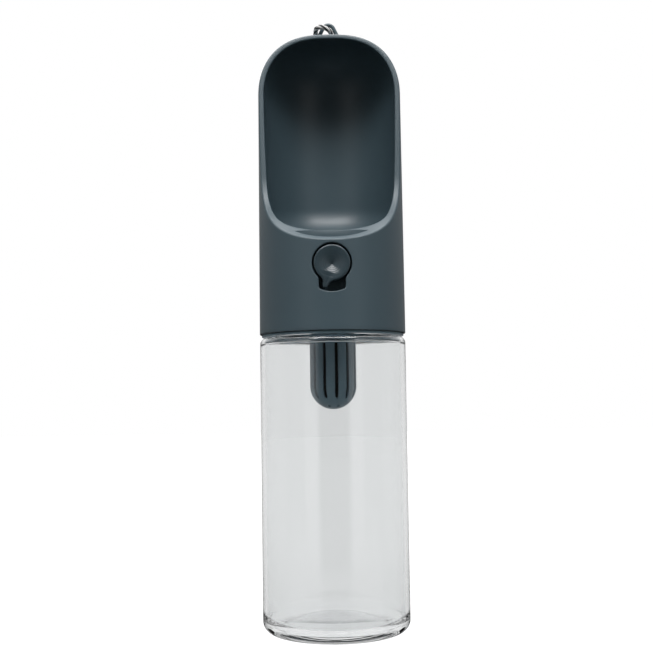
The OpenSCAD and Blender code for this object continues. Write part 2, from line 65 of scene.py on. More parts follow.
# Wrist loop: about 30 cm of limp cord, laid from six strands, white and black in turn. It leaves
# the lug, hangs behind the head, comes back up round the lug's left leg, and ends at its start.
CORD_R = 1.1
STRANDS = 6
STRAND_PITCH = 13
STRAND_GROOVE = 0.13
RING_SPACING = 0.3
CORD_ROUTE = np.array([
    [1.5, 7, 274.6], [1.9, 10.6, 273.7], [2.9, 15.2, 272.2], [4.1, 20.8, 269.5],
    [5.4, 27, 264.6], [6.5, 31.2, 257.5], [7.5, 33.5, 248], [8.4, 33.6, 236],
    [9.2, 33.4, 222], [10, 33.2, 207], [10.6, 33.1, 192], [10.8, 33.1, 178],
    [10.2, 33.2, 165], [8, 33.8, 155], [4.4, 34.4, 148.6], [0, 34.6, 146.4],
    [-4.4, 34.4, 148.6], [-8, 33.8, 155], [-10.2, 33.2, 165], [-10.8, 33.1, 178],
    [-10.6, 33.3, 192], [-10.1, 33.7, 207], [-9.5, 33.4, 222], [-9, 33.3, 236],
    [-8.7, 33.1, 248], [-8.5, 30.9, 257.5], [-8.1, 26.4, 264.4], [-7.4, 20.8, 269.2],
    [-6.6, 15.6, 272.5], [-6, 11, 275.4], [-5.7, 7, 277], [-4.8, 4.7, 277.4],
    [-2.8, 3.3, 277.1], [-0.6, 3.4, 276.3], [1, 4.8, 275.3], [1.5, 7, 274.6]])


def unit(v):
    """Each vector divided by its own length."""
    return v / np.maximum(np.linalg.norm(v, axis=-1, keepdims=True), 1e-12)


def smooth_line(route, spacing):
    """A cubic through the route's points, its slope at each set by the points on either side,
    then points along it at an even spacing."""
    a, b = np.vstack([route[:1], route[:-2]]), route[:-1]
    c, d = route[1:], np.vstack([route[2:], route[-1:]])
    s = np.arange(24)[:, None, None] / 24
    spans = 0.5 * (2 * b + (c - a) * s + (2 * a - 5 * b + 4 * c - d) * s ** 2
                   + (3 * b - 3 * c + d - a) * s ** 3)
    fine = np.vstack([spans.transpose(1, 0, 2).reshape(-1, 3), route[-1:]])
    along = np.insert(np.cumsum(np.linalg.norm(np.diff(fine, axis=0), axis=1)), 0, 0)
    even = np.linspace(0, along[-1], int(along[-1] / spacing) + 1)
    return np.stack([np.interp(even, along, fine[:, i]) for i in range(3)], axis=1), even


def carried_sides(line):
    """Two directions square to a line at each of its points, carried along it without twist:
    each keeps what is left of the one before once its part along the line is taken away."""
    ahead = unit(np.gradient(line, axis=0))
    side = np.empty_like(line)
    side[0] = unit(np.cross(ahead[0], [0.3, 0.1, 1.0]))
    for i in range(1, len(line)):
        side[i] = unit(side[i - 1] - ahead[i] * (side[i - 1] @ ahead[i]))
    return side, np.cross(ahead, side)


def quads(rows, cols, around=False, without=()):
    """Four-sided faces of a grid of points, row by row. Around joins the last column to the
    first; without lists blocks of cells to leave open, as first row, end row and columns."""
    number = np.arange(rows * cols).reshape(rows, cols)
    if around:
        number = np.hstack([number, number[:, :1]])
    cells = np.stack([number[:-1, :-1], number[:-1, 1:], number[1:, 1:], number[1:, :-1]], axis=-1)
    keep = np.ones(cells.shape[:2], bool)
    for low, high, columns in without:
        keep[low:high, np.array(columns) % cells.shape[1]] = False
    return cells[keep]


def flat_end(grid, row):
    """One many-sided face over a row of a grid that runs once round."""
    count = grid.shape[1]
    return (np.arange(count) + row % grid.shape[0] * count).tolist()


def piece(name, sheets, body, material, nodes=(), values=None, ends=(), sharp_deg=40):
    """Joins sheets, each a grid of points in millimetres with its faces, into one mesh in
    metres. Seams are welded, faces turned outwards, and edges sharper than sharp_deg kept."""
    points = np.vstack([grid.reshape(-1, 3) for grid, _ in sheets])
    faces = []
    first = 0
    for grid, cells in sheets:
        faces += (cells + first).tolist()
        first += grid.size // 3
    faces += list(ends)
    mesh = bpy.data.meshes.new(name)
    mesh.from_pydata(points / 1000, [], faces)
    for value_name, numbers in (values or {}).items():
        attribute = mesh.attributes.new(value_name, "FLOAT", "POINT")
        attribute.data.foreach_set("value", np.ascontiguousarray(numbers, np.float32).ravel())
    work = bmesh.new()
    work.from_mesh(mesh)
    bmesh.ops.remove_doubles(work, verts=work.verts, dist=2e-6)
    bmesh.ops.dissolve_degenerate(work, edges=work.edges, dist=1e-7)
    bmesh.ops.recalc_face_normals(work, faces=work.faces)
    work.to_mesh(mesh)
    work.free()
    mesh.shade_smooth()
    mesh.set_sharp_from_angle(angle=math.radians(sharp_deg))
    mesh.materials.append(material)
    made = bpy.data.objects.new(name, mesh)
    bpy.context.scene.collection.objects.link(made)
    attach(made, body)
    if nodes:
        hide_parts(*nodes)
    return made


def new_group(name, inputs, outputs):
    """Shader node group with its named number inputs, each with a value, and its outputs."""
    group = bpy.data.node_groups.new(name, "ShaderNodeTree")
    for socket, value in inputs.items():
        made = group.interface.new_socket(socket, in_out="INPUT", socket_type="NodeSocketFloat")
        made.default_value = value
    for socket in outputs:
        group.interface.new_socket(socket, in_out="OUTPUT", socket_type="NodeSocketFloat")
    return group, group.nodes.new("NodeGroupInput"), group.nodes.new("NodeGroupOutput")


def link(tree, start, end):
    """Joins an output socket to an input socket."""
    tree.links.new(start, end)


def node(tree, kind, settings=None, **values):
    """Adds a node; settings are its own properties and values go into its named inputs."""
    made = tree.nodes.new("ShaderNode" + kind)
    for key, value in (settings or {}).items():
        setattr(made, key, value)
    for key, value in values.items():
        socket = made.inputs[key.replace("_", " ")]
        if isinstance(value, bpy.types.NodeSocket):
            tree.links.new(value, socket)
        else:
            socket.default_value = value
    return made


def maths(tree, kind, a, b=0.5, c=0.5, clamp=False):
    """One step of arithmetic on up to three numbers, each of which may be a socket."""
    made = tree.nodes.new("ShaderNodeMath")
    made.operation = kind
    made.use_clamp = clamp
    for socket, value in zip(made.inputs, (a, b, c)):
        if isinstance(value, bpy.types.NodeSocket):
            tree.links.new(value, socket)
        else:
            socket.default_value = value
    return made.outputs[0]


def blend_colour(tree, mask, low, high):
    """Colour that goes from low to high as the mask goes from 0 to 1."""
    made = tree.nodes.new("ShaderNodeMix")
    made.data_type = "RGBA"
    tree.links.new(mask, made.inputs["Factor"])
    for socket, value in zip([s for s in made.inputs if s.type == "RGBA"], (low, high)):
        if isinstance(value, bpy.types.NodeSocket):
            tree.links.new(value, socket)
        else:
            socket.default_value = (*value, 1)
    return [s for s in made.outputs if s.type == "RGBA"][0]


def new_material(name, **shader_values):
    """Material with a Principled shader whose plain values are set on its own sockets."""
    made = bpy.data.materials.new(name)
    made.use_nodes = True
    tree = made.node_tree
    shader = tree.nodes["Principled BSDF"]
    for key, value in shader_values.items():
        shader.inputs[key.replace("_", " ")].default_value = value
    return made, tree, shader


def bump(tree, shader, height, distance_m):
    """Feeds a height into the shader's normal, so that a height of 1 stands out by the distance."""
    made = node(tree, "Bump", Strength=1.0, Distance=distance_m, Height=height)
    link(tree, made.outputs["Normal"], shader.inputs["Normal"])


def place(tree):
    """Object coordinates, which are the row's own metres on every piece."""
    return tree.nodes.new("ShaderNodeTexCoord").outputs["Object"]


def yarn_group():
    """Fine fibres along a strand: noise drawn out along the cord, from 0 to 1."""
    group, given, result = new_group("yarn", {"Around": 0, "Along": 0}, ["Fibres"])
    spot = node(group, "CombineXYZ")
    link(group, maths(group, "MULTIPLY", given.outputs["Around"], 9), spot.inputs["X"])
    link(group, maths(group, "MULTIPLY", given.outputs["Along"], 1.3), spot.inputs["Y"])
    noise = node(group, "TexNoise", Vector=spot.outputs[0], Scale=2.2, Detail=3, Roughness=0.6)
    link(group, noise.outputs[0], result.inputs["Fibres"])
    return group


def cord_material():
    """Two-colour polyester cord: the strand's own value says which colour a strand is."""
    made, tree, shader = new_material("cord_yarn", Roughness=0.72, Sheen_Weight=0.35, Sheen_Roughness=0.5)
    strand = node(tree, "Attribute", {"attribute_name": "strand"}).outputs["Fac"]
    around = node(tree, "Attribute", {"attribute_name": "around"}).outputs["Fac"]
    along = node(tree, "Attribute", {"attribute_name": "along"}).outputs["Fac"]
    yarn = tree.nodes.new("ShaderNodeGroup")
    yarn.node_tree = yarn_group()
    link(tree, around, yarn.inputs["Around"])
    link(tree, along, yarn.inputs["Along"])
    white = maths(tree, "MULTIPLY_ADD", strand, 9.0, 0.5, clamp=True)
    dark = blend_colour(tree, yarn.outputs["Fibres"], (0.006, 0.006, 0.007), (0.03, 0.031, 0.034))
    pale = blend_colour(tree, yarn.outputs["Fibres"], (0.6, 0.59, 0.58), (0.92, 0.91, 0.9))
    link(tree, blend_colour(tree, white, dark, pale), shader.inputs["Base Color"])
    bump(tree, shader, yarn.outputs["Fibres"], 0.00012)
    return made


def laid_cord(line, along, radius, sides=48):
    """Cord of several strands: at angle t round the cord and length s along it, the radius dips
    between strands by the groove's share, and the strands turn once in each pitch."""
    across, over = carried_sides(line)
    t = np.arange(sides) / sides * 2 * np.pi
    strand = t[None, :] - 2 * np.pi * along[:, None] / STRAND_PITCH
    swell = radius * (1 - STRAND_GROOVE * (1 - np.abs(np.cos(STRANDS / 2 * strand)) ** 0.6))
    ring = np.cos(t)[None, :, None] * across[:, None] + np.sin(t)[None, :, None] * over[:, None]
    return line[:, None] + swell[..., None] * ring, strand


cord_line, cord_along = smooth_line(CORD_ROUTE, RING_SPACING)
cord_grid, cord_strand = laid_cord(cord_line, cord_along, CORD_R)
cord_values = {
    "strand": np.cos(STRANDS / 2 * cord_strand),
    "around": cord_strand,
    "along": np.repeat(cord_along[:, None], cord_grid.shape[1], axis=1)}
wrist_cord = piece(
    "wrist_cord", [(cord_grid, quads(*cord_grid.shape[:2], around=True))], "head",
    cord_material(), nodes=["wrist_cord"], values=cord_values,
    ends=[flat_end(cord_grid, 0), flat_end(cord_grid, -1)])

# Cord sleeve: short tube moulded in near-black plastic, with rounded ends and a shallow waist. It
# stands on the loop where the ends of the real cord are joined.
SLEEVE_AT = np.array([-10.1, 33.7, 207])
SLEEVE_R = 1.8
SLEEVE_LENGTH = 9
SLEEVE_TURNS_DEG = (-0.6, 2.1)


def rounded(outline, radius, closed):
    """Outline with each corner of more than 20 degrees replaced by a short curve, which leaves
    and meets the sides at radius from the corner, or at 0.45 of a shorter side."""
    outline = np.asarray(outline, float)
    before, after = np.roll(outline, 1, axis=0), np.roll(outline, -1, axis=0)
    back, on = before - outline, after - outline
    turn = np.sum(unit(-back) * unit(on), axis=1)
    short = np.minimum(np.linalg.norm(back, axis=1), np.linalg.norm(on, axis=1))
    cut = np.where(turn < math.cos(math.radians(20)), np.minimum(radius, 0.45 * short), 0)
    if not closed:
        cut[[0, -1]] = 0
    t = np.linspace(0, 1, 6)[:, None, None]
    cut = cut[:, None]
    curve = ((1 - t) ** 2 * (outline + cut * unit(back)) + 2 * t * (1 - t) * outline
             + t ** 2 * (outline + cut * unit(on)))
    points = curve.transpose(1, 0, 2).reshape(-1, 2)
    keep = np.linalg.norm(points - np.roll(points, 1, axis=0), axis=1) > 1e-6
    keep[0] = True
    return points[keep]


def turned(outline, radius=0.2, closed=False, cols=96, lying=None):
    """Outline of radius and height, its corners rounded, carried once round an axis: upright,
    or along Y at the height that lying gives, where the outline's height runs to the back."""
    outline = rounded(outline, radius, closed)
    if closed:
        outline = np.vstack([outline, outline[:1]])
    angle = np.arange(cols) / cols * 2 * np.pi
    x = outline[:, :1] * np.cos(angle)
    y = outline[:, :1] * np.sin(angle)
    z = np.repeat(outline[:, 1:], cols, axis=1)
    grid = np.stack([x, y, z], axis=-1)
    if lying is not None:
        grid = np.stack([x, z, lying - y], axis=-1)
    return grid


def whole(grid):
    """Sheet of a grid that runs once round."""
    return grid, quads(*grid.shape[:2], around=True)


def skin_group():
    """Moulded skin: fine grain from the tool's surface, and soft patches from handling. Grain
    is a height, Patch a slow change from 0 to 1, and Rough the roughness that both give."""
    group, given, result = new_group(
        "moulded_skin", {"Roughness": 0.4, "Spread": 0.06}, ["Grain", "Patch", "Rough"])
    spot = place(group)
    grain = node(group, "TexNoise", Vector=spot, Scale=3000, Detail=2, Roughness=0.5)
    patch = node(group, "TexNoise", Vector=spot, Scale=55, Detail=4, Roughness=0.55)
    link(group, grain.outputs[0], result.inputs["Grain"])
    link(group, patch.outputs[0], result.inputs["Patch"])
    patch_off = maths(group, "SUBTRACT", patch.outputs[0], 0.5)
    grain_off = maths(group, "SUBTRACT", grain.outputs[0], 0.5)
    rough = maths(group, "MULTIPLY_ADD", patch_off, given.outputs["Spread"], given.outputs["Roughness"])
    rough = maths(group, "MULTIPLY_ADD", grain_off, 0.08, rough)
    link(group, rough, result.inputs["Rough"])
    return group


MOULDED_SKIN = skin_group()


def moulded_plastic(name, shade, rough, grain_um=4.0, spread=0.12, **shader_values):
    """Moulded plastic: an even colour that shifts slightly in slow patches, with the grain of
    the tool as bump, that many micrometres deep."""
    made, tree, shader = new_material(name, **shader_values)
    skin = tree.nodes.new("ShaderNodeGroup")
    skin.node_tree = MOULDED_SKIN
    skin.inputs["Roughness"].default_value = rough
    skin.inputs["Spread"].default_value = spread
    light = tuple(c * 1.06 for c in shade)
    dark = tuple(c * 0.94 for c in shade)
    link(tree, blend_colour(tree, skin.outputs["Patch"], dark, light), shader.inputs["Base Color"])
    link(tree, skin.outputs["Rough"], shader.inputs["Roughness"])
    bump(tree, shader, skin.outputs["Grain"], grain_um * 1e-6)
    return made


def rotated(grid, about_x_deg, about_y_deg, place_at):
    """Grid turned about X, then about Y, and moved to its place."""
    a, b = math.radians(about_x_deg), math.radians(about_y_deg)
    turn_x = np.array([[1, 0, 0], [0, math.cos(a), -math.sin(a)], [0, math.sin(a), math.cos(a)]])
    turn_y = np.array([[math.cos(b), 0, math.sin(b)], [0, 1, 0], [-math.sin(b), 0, math.cos(b)]])
    return grid @ (turn_y @ turn_x).T + place_at


sleeve_half = SLEEVE_LENGTH / 2
sleeve_waist_r = SLEEVE_R - 0.15
sleeve_grid = turned([
    [CORD_R * 0.7, -sleeve_half + 0.4], [CORD_R, -sleeve_half], [SLEEVE_R, -sleeve_half],
    [SLEEVE_R, -sleeve_half + 1.4], [sleeve_waist_r, -sleeve_half + 2.2], [sleeve_waist_r, sleeve_half - 2.2],
    [SLEEVE_R, sleeve_half - 1.4], [SLEEVE_R, sleeve_half], [CORD_R, sleeve_half],
    [CORD_R * 0.7, sleeve_half - 0.4]], radius=0.35, closed=True, cols=48)
sleeve = piece(
    "cord_sleeve", [whole(rotated(sleeve_grid, *SLEEVE_TURNS_DEG, SLEEVE_AT))], "head",
    moulded_plastic("sleeve_plastic", (0.02, 0.024, 0.026), 0.45), nodes=["cord_sleeve"])

# Bottle: blow-moulded clear copolyester with a thick raised base, a rounded foot, a straight
# side and a threaded neck. The thread is a ridge in the neck's own wall.
BOTTLE_R = 33
SHOULDER_Z = 131.5
BOTTLE_WALL = 1.8
BASE_ROUND = 5.25
NECK_R = 27
NECK_TOP = SHOULDER_Z + 12
NECK_BORE_R = NECK_R - 2.2
THREAD_LEAD = 4
THREAD_DEPTH = 1.2
THREAD_TURNS = 1.25
THREAD_LOW_Z = SHOULDER_Z + 4.2


def arc(x, z, radius, start_deg, end_deg, steps=8):
    """Points on an arc of a circle."""
    angle = np.radians(np.linspace(start_deg, end_deg, steps + 1))
    return np.stack([x + radius * np.cos(angle), z + radius * np.sin(angle)], axis=1).tolist()


def thread_ridge(grid, low_z, turns, depth):
    """Adds a screw thread to the rows of a turned wall: at angle t and height z the ridge is
    highest where z is low_z plus the lead times t in turns, and fades in at both its ends."""
    t = np.arctan2(grid[..., 1], grid[..., 0]) / (2 * np.pi) % 1
    ridge = np.zeros(t.shape)
    for lap in range(math.ceil(turns)):
        along = t + lap
        off = np.abs(grid[..., 2] - low_z - THREAD_LEAD * along)
        fade = np.clip(np.minimum(along, turns - along) * 12, 0, 1)
        ridge = np.maximum(ridge, fade * np.clip((1.15 - off) / 0.6, 0, 1))
    out = np.linalg.norm(grid[..., :2], axis=-1, keepdims=True)
    ridge = (3 * ridge ** 2 - 2 * ridge ** 3)[..., None]
    grid[..., :2] *= (out + depth * ridge) / np.maximum(out, 1e-9)


def clear_material():
    """Clear plastic with the faint grey of copolyester and slow ripples from blowing."""
    made, tree, shader = new_material(
        "clear_bottle", Base_Color=(0.84, 0.85, 0.853, 1), Transmission_Weight=1.0, IOR=1.5)
    spot = node(tree, "Mapping", Vector=place(tree))
    spot.inputs["Scale"].default_value = (1, 1, 0.25)
    ripple = node(tree, "TexNoise", Vector=spot.outputs[0], Scale=60, Detail=1, Roughness=0.4)
    haze = node(tree, "TexNoise", Vector=place(tree), Scale=240, Detail=4, Roughness=0.6)
    link(tree, maths(tree, "MULTIPLY", haze.outputs[0], 0.03), shader.inputs["Roughness"])
    bump(tree, shader, ripple.outputs[0], 0.00004)
    lets_light = node(tree, "BsdfTransparent", Color=(0.8, 0.81, 0.815, 1))
    either = tree.nodes.new("ShaderNodeMixShader")
    link(tree, node(tree, "LightPath").outputs["Is Shadow Ray"], either.inputs[0])
    link(tree, shader.outputs[0], either.inputs[1])
    link(tree, lets_light.outputs[0], either.inputs[2])
    link(tree, either.outputs[0], tree.nodes["Material Output"].inputs["Surface"])
    return made


inner_r = BOTTLE_R - BOTTLE_WALL
neck_rows = [[NECK_R, z] for z in np.linspace(SHOULDER_Z + 0.4, NECK_TOP - 0.6, 56)]
bottle_outline = (
    [[0, 5.2], [4, 5.1], [8, 4.85], [12, 4.4], [16, 3.5], [19.5, 2.5], [22, 1.6], [24, 0.6],
     [25, 0.08], [26, 0]]
    + arc(BOTTLE_R - BASE_ROUND, BASE_ROUND, BASE_ROUND, -88, 0, 16)
    + arc(BOTTLE_R - 3, SHOULDER_Z - 3, 3, 0, 90, 12)
    + [[NECK_R + 0.4, SHOULDER_Z]] + neck_rows
    + arc(NECK_R - 0.6, NECK_TOP - 0.6, 0.6, 0, 90, 4)
    + arc(NECK_BORE_R + 0.5, NECK_TOP - 0.5, 0.5, 90, 180, 4)
    + [[NECK_BORE_R, SHOULDER_Z - BOTTLE_WALL + 1]]
    + arc(NECK_BORE_R + 1, SHOULDER_Z - BOTTLE_WALL + 1, 1, 180, 270, 4)
    + arc(inner_r - 2.2, SHOULDER_Z - BOTTLE_WALL - 2.2, 2.2, 90, 0, 10)
    + arc(inner_r - 6, 9.4, 6, 0, -78, 14)
    + [[23, 4.0], [20, 5.0], [16, 6.1], [12, 7.0], [8, 7.62], [4, 8.0], [2, 8.08], [0, 8.1]])
bottle_grid = turned(bottle_outline, radius=0, cols=224)
on_neck = (np.abs(np.linalg.norm(bottle_grid[:, 0, :2], axis=1) - NECK_R) < 0.01) & (
    bottle_grid[:, 0, 2] > SHOULDER_Z)
neck_grid = bottle_grid[on_neck]
thread_ridge(neck_grid, THREAD_LOW_Z, THREAD_TURNS, THREAD_DEPTH)
bottle_grid[on_neck] = neck_grid
piece("bottle", [whole(bottle_grid)], "bottle", clear_material(), nodes=["bottle"])

# Neck gasket: flat ring of grey silicone between the neck's rim and the closure.
GASKET_T = 1.2
GASKET_Z = NECK_TOP + 0.05
SKIRT_BORE_R = NECK_R + THREAD_DEPTH + 0.5
GREY_SILICONE = moulded_plastic("grey_silicone", (0.05, 0.058, 0.062), 0.62, grain_um=2.0, IOR=1.41)
gasket_grid = turned([
    [NECK_BORE_R + 0.1, GASKET_Z], [SKIRT_BORE_R - 0.15, GASKET_Z], [SKIRT_BORE_R - 0.15, GASKET_Z + 1.18],
    [NECK_BORE_R + 0.1, GASKET_Z + 1.18]], radius=0.25, closed=True)
piece("neck_gasket", [whole(gasket_grid)], "thread_follower", GREY_SILICONE,
      nodes=["neck_gasket"])

# Closure: one moulding with a threaded skirt, a flange that shows under the head, a plug that
# enters the neck, and the deep socket for the filter cage. Its grey is 3.4 times as light as the
# head's. Part of that is the closure's own lighter plastic. The rest is painted light, which
# brightens the flange where the head's edge shades it.
PLATE_Z = GASKET_Z + GASKET_T
PLATE_T = 2.75
FLANGE_R = 32.2
FLANGE_Z = SHOULDER_Z + 0.3
SKIRT_R = 30.3
PLUG_R = NECK_BORE_R - 0.4
PLUG_Z = SHOULDER_Z + 0.1
PLUG_FLOOR_T = 2
CAGE_R = 10.5
SOCKET_BORE_R = CAGE_R + 0.15
SOCKET_R = SOCKET_BORE_R + 1.7
SOCKET_TOP = 145.3
SEAL_LIP_R = 12
SEAL_LIP_T = 1.4
INLET_R = 2.5
SCREW_X = 16
SCREW_HOLE_R = 1.25
SCREW_HOLE_LOW = 141
BOSS_R = 2.7
BOSS_TOP = 150
CAP_THREAD_TURNS = 1.0
SHELL_GREY = (0.051, 0.079, 0.095)


def head_grey(times=1.0):
    """The head's grey, made that many times as light."""
    return tuple(times * c for c in SHELL_GREY)


# Partly painted light: the colour is raised so that the flange, shaded by the head, looks lit.
CLOSURE_PLASTIC_AND_PAINTED_LIGHT = moulded_plastic("closure_plastic", head_grey(3.4), 0.42)

plate_top = PLATE_Z + PLATE_T
thread_rows = [[SKIRT_BORE_R, z] for z in np.linspace(PLATE_Z - 0.4, FLANGE_Z + 0.4, 44)]
cap_outline = rounded([
    [SKIRT_BORE_R, FLANGE_Z], [FLANGE_R, FLANGE_Z], [FLANGE_R, FLANGE_Z + 1], [SKIRT_R, FLANGE_Z + 1],
    [SKIRT_R, plate_top], [PLUG_R - 2, plate_top], [PLUG_R - 2, PLUG_Z + PLUG_FLOOR_T],
    [SOCKET_R, PLUG_Z + PLUG_FLOOR_T], [SOCKET_R, SOCKET_TOP], [INLET_R, SOCKET_TOP],
    [INLET_R, SOCKET_TOP - 2], [SOCKET_BORE_R, SOCKET_TOP - 2],
    [SOCKET_BORE_R, PLUG_Z + SEAL_LIP_T], [SEAL_LIP_R, PLUG_Z + SEAL_LIP_T], [SEAL_LIP_R, PLUG_Z],
    [PLUG_R, PLUG_Z], [PLUG_R, PLATE_Z], [SKIRT_BORE_R, PLATE_Z]], 0.3, True)
cap_grid = turned(np.vstack([cap_outline, thread_rows]), radius=0, closed=True, cols=192)
in_skirt = (np.abs(np.linalg.norm(cap_grid[:, 0, :2], axis=1) - SKIRT_BORE_R) < 0.01) & (
    cap_grid[:, 0, 2] < PLATE_Z - 0.3)
skirt_grid = cap_grid[in_skirt]
thread_ridge(skirt_grid, THREAD_LOW_Z + THREAD_LEAD / 2, CAP_THREAD_TURNS, -THREAD_DEPTH)
cap_grid[in_skirt] = skirt_grid
boss_sheets = []
for side in (-1, 1):
    boss = turned([
        [0, PLUG_Z + 1.8], [BOSS_R, PLUG_Z + 1.8], [BOSS_R, BOSS_TOP], [SCREW_HOLE_R, BOSS_TOP],
        [SCREW_HOLE_R, SCREW_HOLE_LOW], [0, SCREW_HOLE_LOW]], radius=0.3, cols=40)
    boss_sheets.append(whole(boss + np.array([side * SCREW_X, 0, 0])))
piece("inner_cap", [whole(cap_grid)] + boss_sheets, "head", CLOSURE_PLASTIC_AND_PAINTED_LIGHT,
      nodes=["inner_cap"])

# Cage seal: white silicone ring in the socket's mouth, with a flat flange under the closure.
WHITE_SILICONE = moulded_plastic(
    "white_silicone", (0.78, 0.8, 0.81), 0.5, grain_um=2.0, IOR=1.41, Subsurface_Weight=0.15,
    Subsurface_Scale=0.001)
SEAL_R = 15.5
seal_grid = turned([
    [CAGE_R + 0.05, PLUG_Z - 1], [SEAL_R, PLUG_Z - 1], [SEAL_R, PLUG_Z - 0.02],
    [SEAL_LIP_R - 0.05, PLUG_Z - 0.02], [SEAL_LIP_R - 0.05, PLUG_Z + SEAL_LIP_T - 0.05],
    [CAGE_R + 0.05, PLUG_Z + SEAL_LIP_T - 0.05]], radius=0.3, closed=True)
piece("cage_seal", [whole(seal_grid)], "head", WHITE_SILICONE, nodes=["cage_seal"])

# Vent valve: small umbrella of grey silicone whose stem is pulled through the closure's floor.
VENT_Y = 19.6
vent_grid = turned([
    [0, -1.2], [1, -1.1], [2.2, -0.8], [3.4, -0.35], [3.4, -0.02], [1.5, -0.02], [1.5, PLUG_FLOOR_T + 0.02],
    [2.0, PLUG_FLOOR_T + 0.02], [1.5, PLUG_FLOOR_T + 1.2], [0, PLUG_FLOOR_T + 1.6]], radius=0.15, cols=48)
piece("vent_valve", [whole(vent_grid + np.array([0, VENT_Y, PLUG_Z]))], "head",
      GREY_SILICONE, nodes=["vent_valve"])

# Filter element: bored bullet of black open-cell foam, cut from a block, its round end down.
CAGE_Z = 99.05
CAGE_WALL = 1
FILTER_R = CAGE_R - CAGE_WALL - 0.1
FILTER_LOW = CAGE_Z + CAGE_WALL + 0.1
FILTER_LENGTH = 42.5
FILTER_BORE_R = 4.9
FILTER_BORE_LENGTH = 30


def foam_material():
    """Carbon-loaded foam: near black, its cells a network of pits with thin shiny walls, and
    painted shade that makes the pits darker than the walls.
    """
    made, tree, shader = new_material("carbon_foam", Specular_IOR_Level=0.0)
    cells = node(tree, "TexVoronoi", {"feature": "DISTANCE_TO_EDGE"}, Vector=place(tree), Scale=1500)
    inward = maths(tree, "MULTIPLY", cells.outputs["Distance"], 3.0)
    wall = maths(tree, "SUBTRACT", 1.0, inward, clamp=True)
    # Painted shade: the colour is darker in the middles of the pits than on the cell walls.
    black = blend_colour(tree, wall, (0.001, 0.001, 0.001), (0.005, 0.005, 0.0055))
    link(tree, black, shader.inputs["Base Color"])
    rough = maths(tree, "SUBTRACT", 0.85, maths(tree, "MULTIPLY", wall, 0.25))
    link(tree, rough, shader.inputs["Roughness"])
    bump(tree, shader, wall, 0.00025)
    return made


filter_top = FILTER_LOW + FILTER_LENGTH
bore_floor = filter_top - FILTER_BORE_LENGTH
filter_outline = (
    arc(0, FILTER_LOW + FILTER_R, FILTER_R, -90, 0, 36)
    + [[FILTER_R, z] for z in np.linspace(FILTER_LOW + FILTER_R + 0.4, filter_top - 0.3, 76)]
    + [[r, filter_top] for r in np.linspace(FILTER_R - 0.3, FILTER_BORE_R + 0.3, 9)]
    + [[FILTER_BORE_R, z] for z in np.linspace(filter_top - 0.3, bore_floor + 0.2, 40)]
    + [[FILTER_BORE_R - 0.2, bore_floor], [0, bore_floor]])
foam_grid = turned(filter_outline, radius=0, cols=144)
foam = piece("filter_element", [whole(foam_grid)], "filter", foam_material(),
             nodes=["filter_element"], sharp_deg=180)
foam_cells = bpy.data.textures.new("foam_cells", "CLOUDS")
foam_cells.noise_scale = 0.0007
foam_cells.noise_depth = 1
pores = foam.modifiers.new("pores", "DISPLACE")
pores.texture = foam_cells
pores.texture_coords = "LOCAL"
pores.mid_level = 1.0
pores.strength = 0.0005

# Filter cage: slotted cup in the head's grey, moulded in one piece, its round end down. Twelve
# slots run from the socket to the round end, and two drain holes are in its underside.
SLOT_COUNT = 12
SLOT_W = 1.5
SLOT_LOW_Z = 103.9
SLOT_HIGH_Z = 129.5
SLOT_OFF_DEG = -7
SLOT_CORNER = 0.45
CAGE_TOP = SOCKET_TOP - 2.3
CAGE_MID_Z = CAGE_Z + CAGE_R
DRAIN_AT = (1.9, -5.0)
DRAIN_R = 0.7
CAGE_COLS = 192
ROWS_BELOW_SLOTS = 19
SLOT_ROWS = 48
SLOT_HALF_COLS = 4


def round_max(a, b, radius):
    """The larger of two distances, with a circular arc of that radius where they are equal, so
    that the form where both are below zero has a rounded edge."""
    both = np.hypot(np.maximum(a + radius, 0), np.maximum(b + radius, 0))
    return np.minimum(np.maximum(a, b), -radius) + both


def reach(field, start, way, far):
    """How far one can go from start along way before the field is above zero, by halving."""
    low = np.zeros(np.broadcast_shapes(start.shape, way.shape)[:-1])
    high = np.full(low.shape, float(far))
    for _ in range(36):
        middle = (low + high) / 2
        inside = field(start + middle[..., None] * way) < 0
        low = np.where(inside, middle, low)
        high = np.where(inside, high, middle)
    return (low + high) / 2


def round_block(rows, cols):
    """Row and column of each point once round a block of grid cells, from its low corner."""
    low, high = rows
    left, right = cols
    down = np.arange(low, high)
    over = np.arange(left, right)
    row = np.concatenate([np.full(len(over), low), down, np.full(len(over), high), down[::-1] + 1])
    col = np.concatenate([over, np.full(len(down), right), over[::-1] + 1, np.full(len(down), left)])
    return row, col


def edge_of(field, centre, angles, even=0.65, far=20):
    """Points on the edge of a flat form round its centre, one for each angle, then moved along
    the edge so that they are spaced evenly by that share."""
    turn = np.linspace(angles[0], angles[0] + 2 * np.pi * np.sign(np.sum(np.sin(np.diff(angles)))), 1441)
    way = np.stack([np.cos(turn), np.sin(turn)], axis=1)
    line = centre + reach(field, np.asarray(centre, float), way, far)[:, None] * way
    along = np.insert(np.cumsum(np.linalg.norm(np.diff(line, axis=0), axis=1)), 0, 0)
    turned_by = np.abs(np.unwrap(angles) - angles[0])
    at = np.interp(turned_by, np.abs(turn - turn[0]), along)
    at = (1 - even) * at + even * along[-1] * np.arange(len(angles)) / len(angles)
    return np.stack([np.interp(at, along, line[:, i]) for i in range(2)], axis=1)


def rows_between(start, end, rows, power=1.0):
    """Rows of points from a first row to a last one. A power below 1 draws them to the last."""
    share = (np.linspace(0, 1, rows) ** power)[:, None, None]
    return start * (1 - share) + end * share


def slot_field(start, end):
    """Below zero inside a slot from start to end, as wide as SLOT_W, with round corners."""
    middle, half = (start + end) / 2, (end - start) / 2
    return lambda q: round_max(
        np.abs(q[..., 0]) - SLOT_W / 2, np.abs(q[..., 1] - middle) - half, SLOT_CORNER)


def drain_field(q):
    """Below zero inside a drain hole."""
    return np.hypot(q[..., 0], q[..., 1]) - DRAIN_R


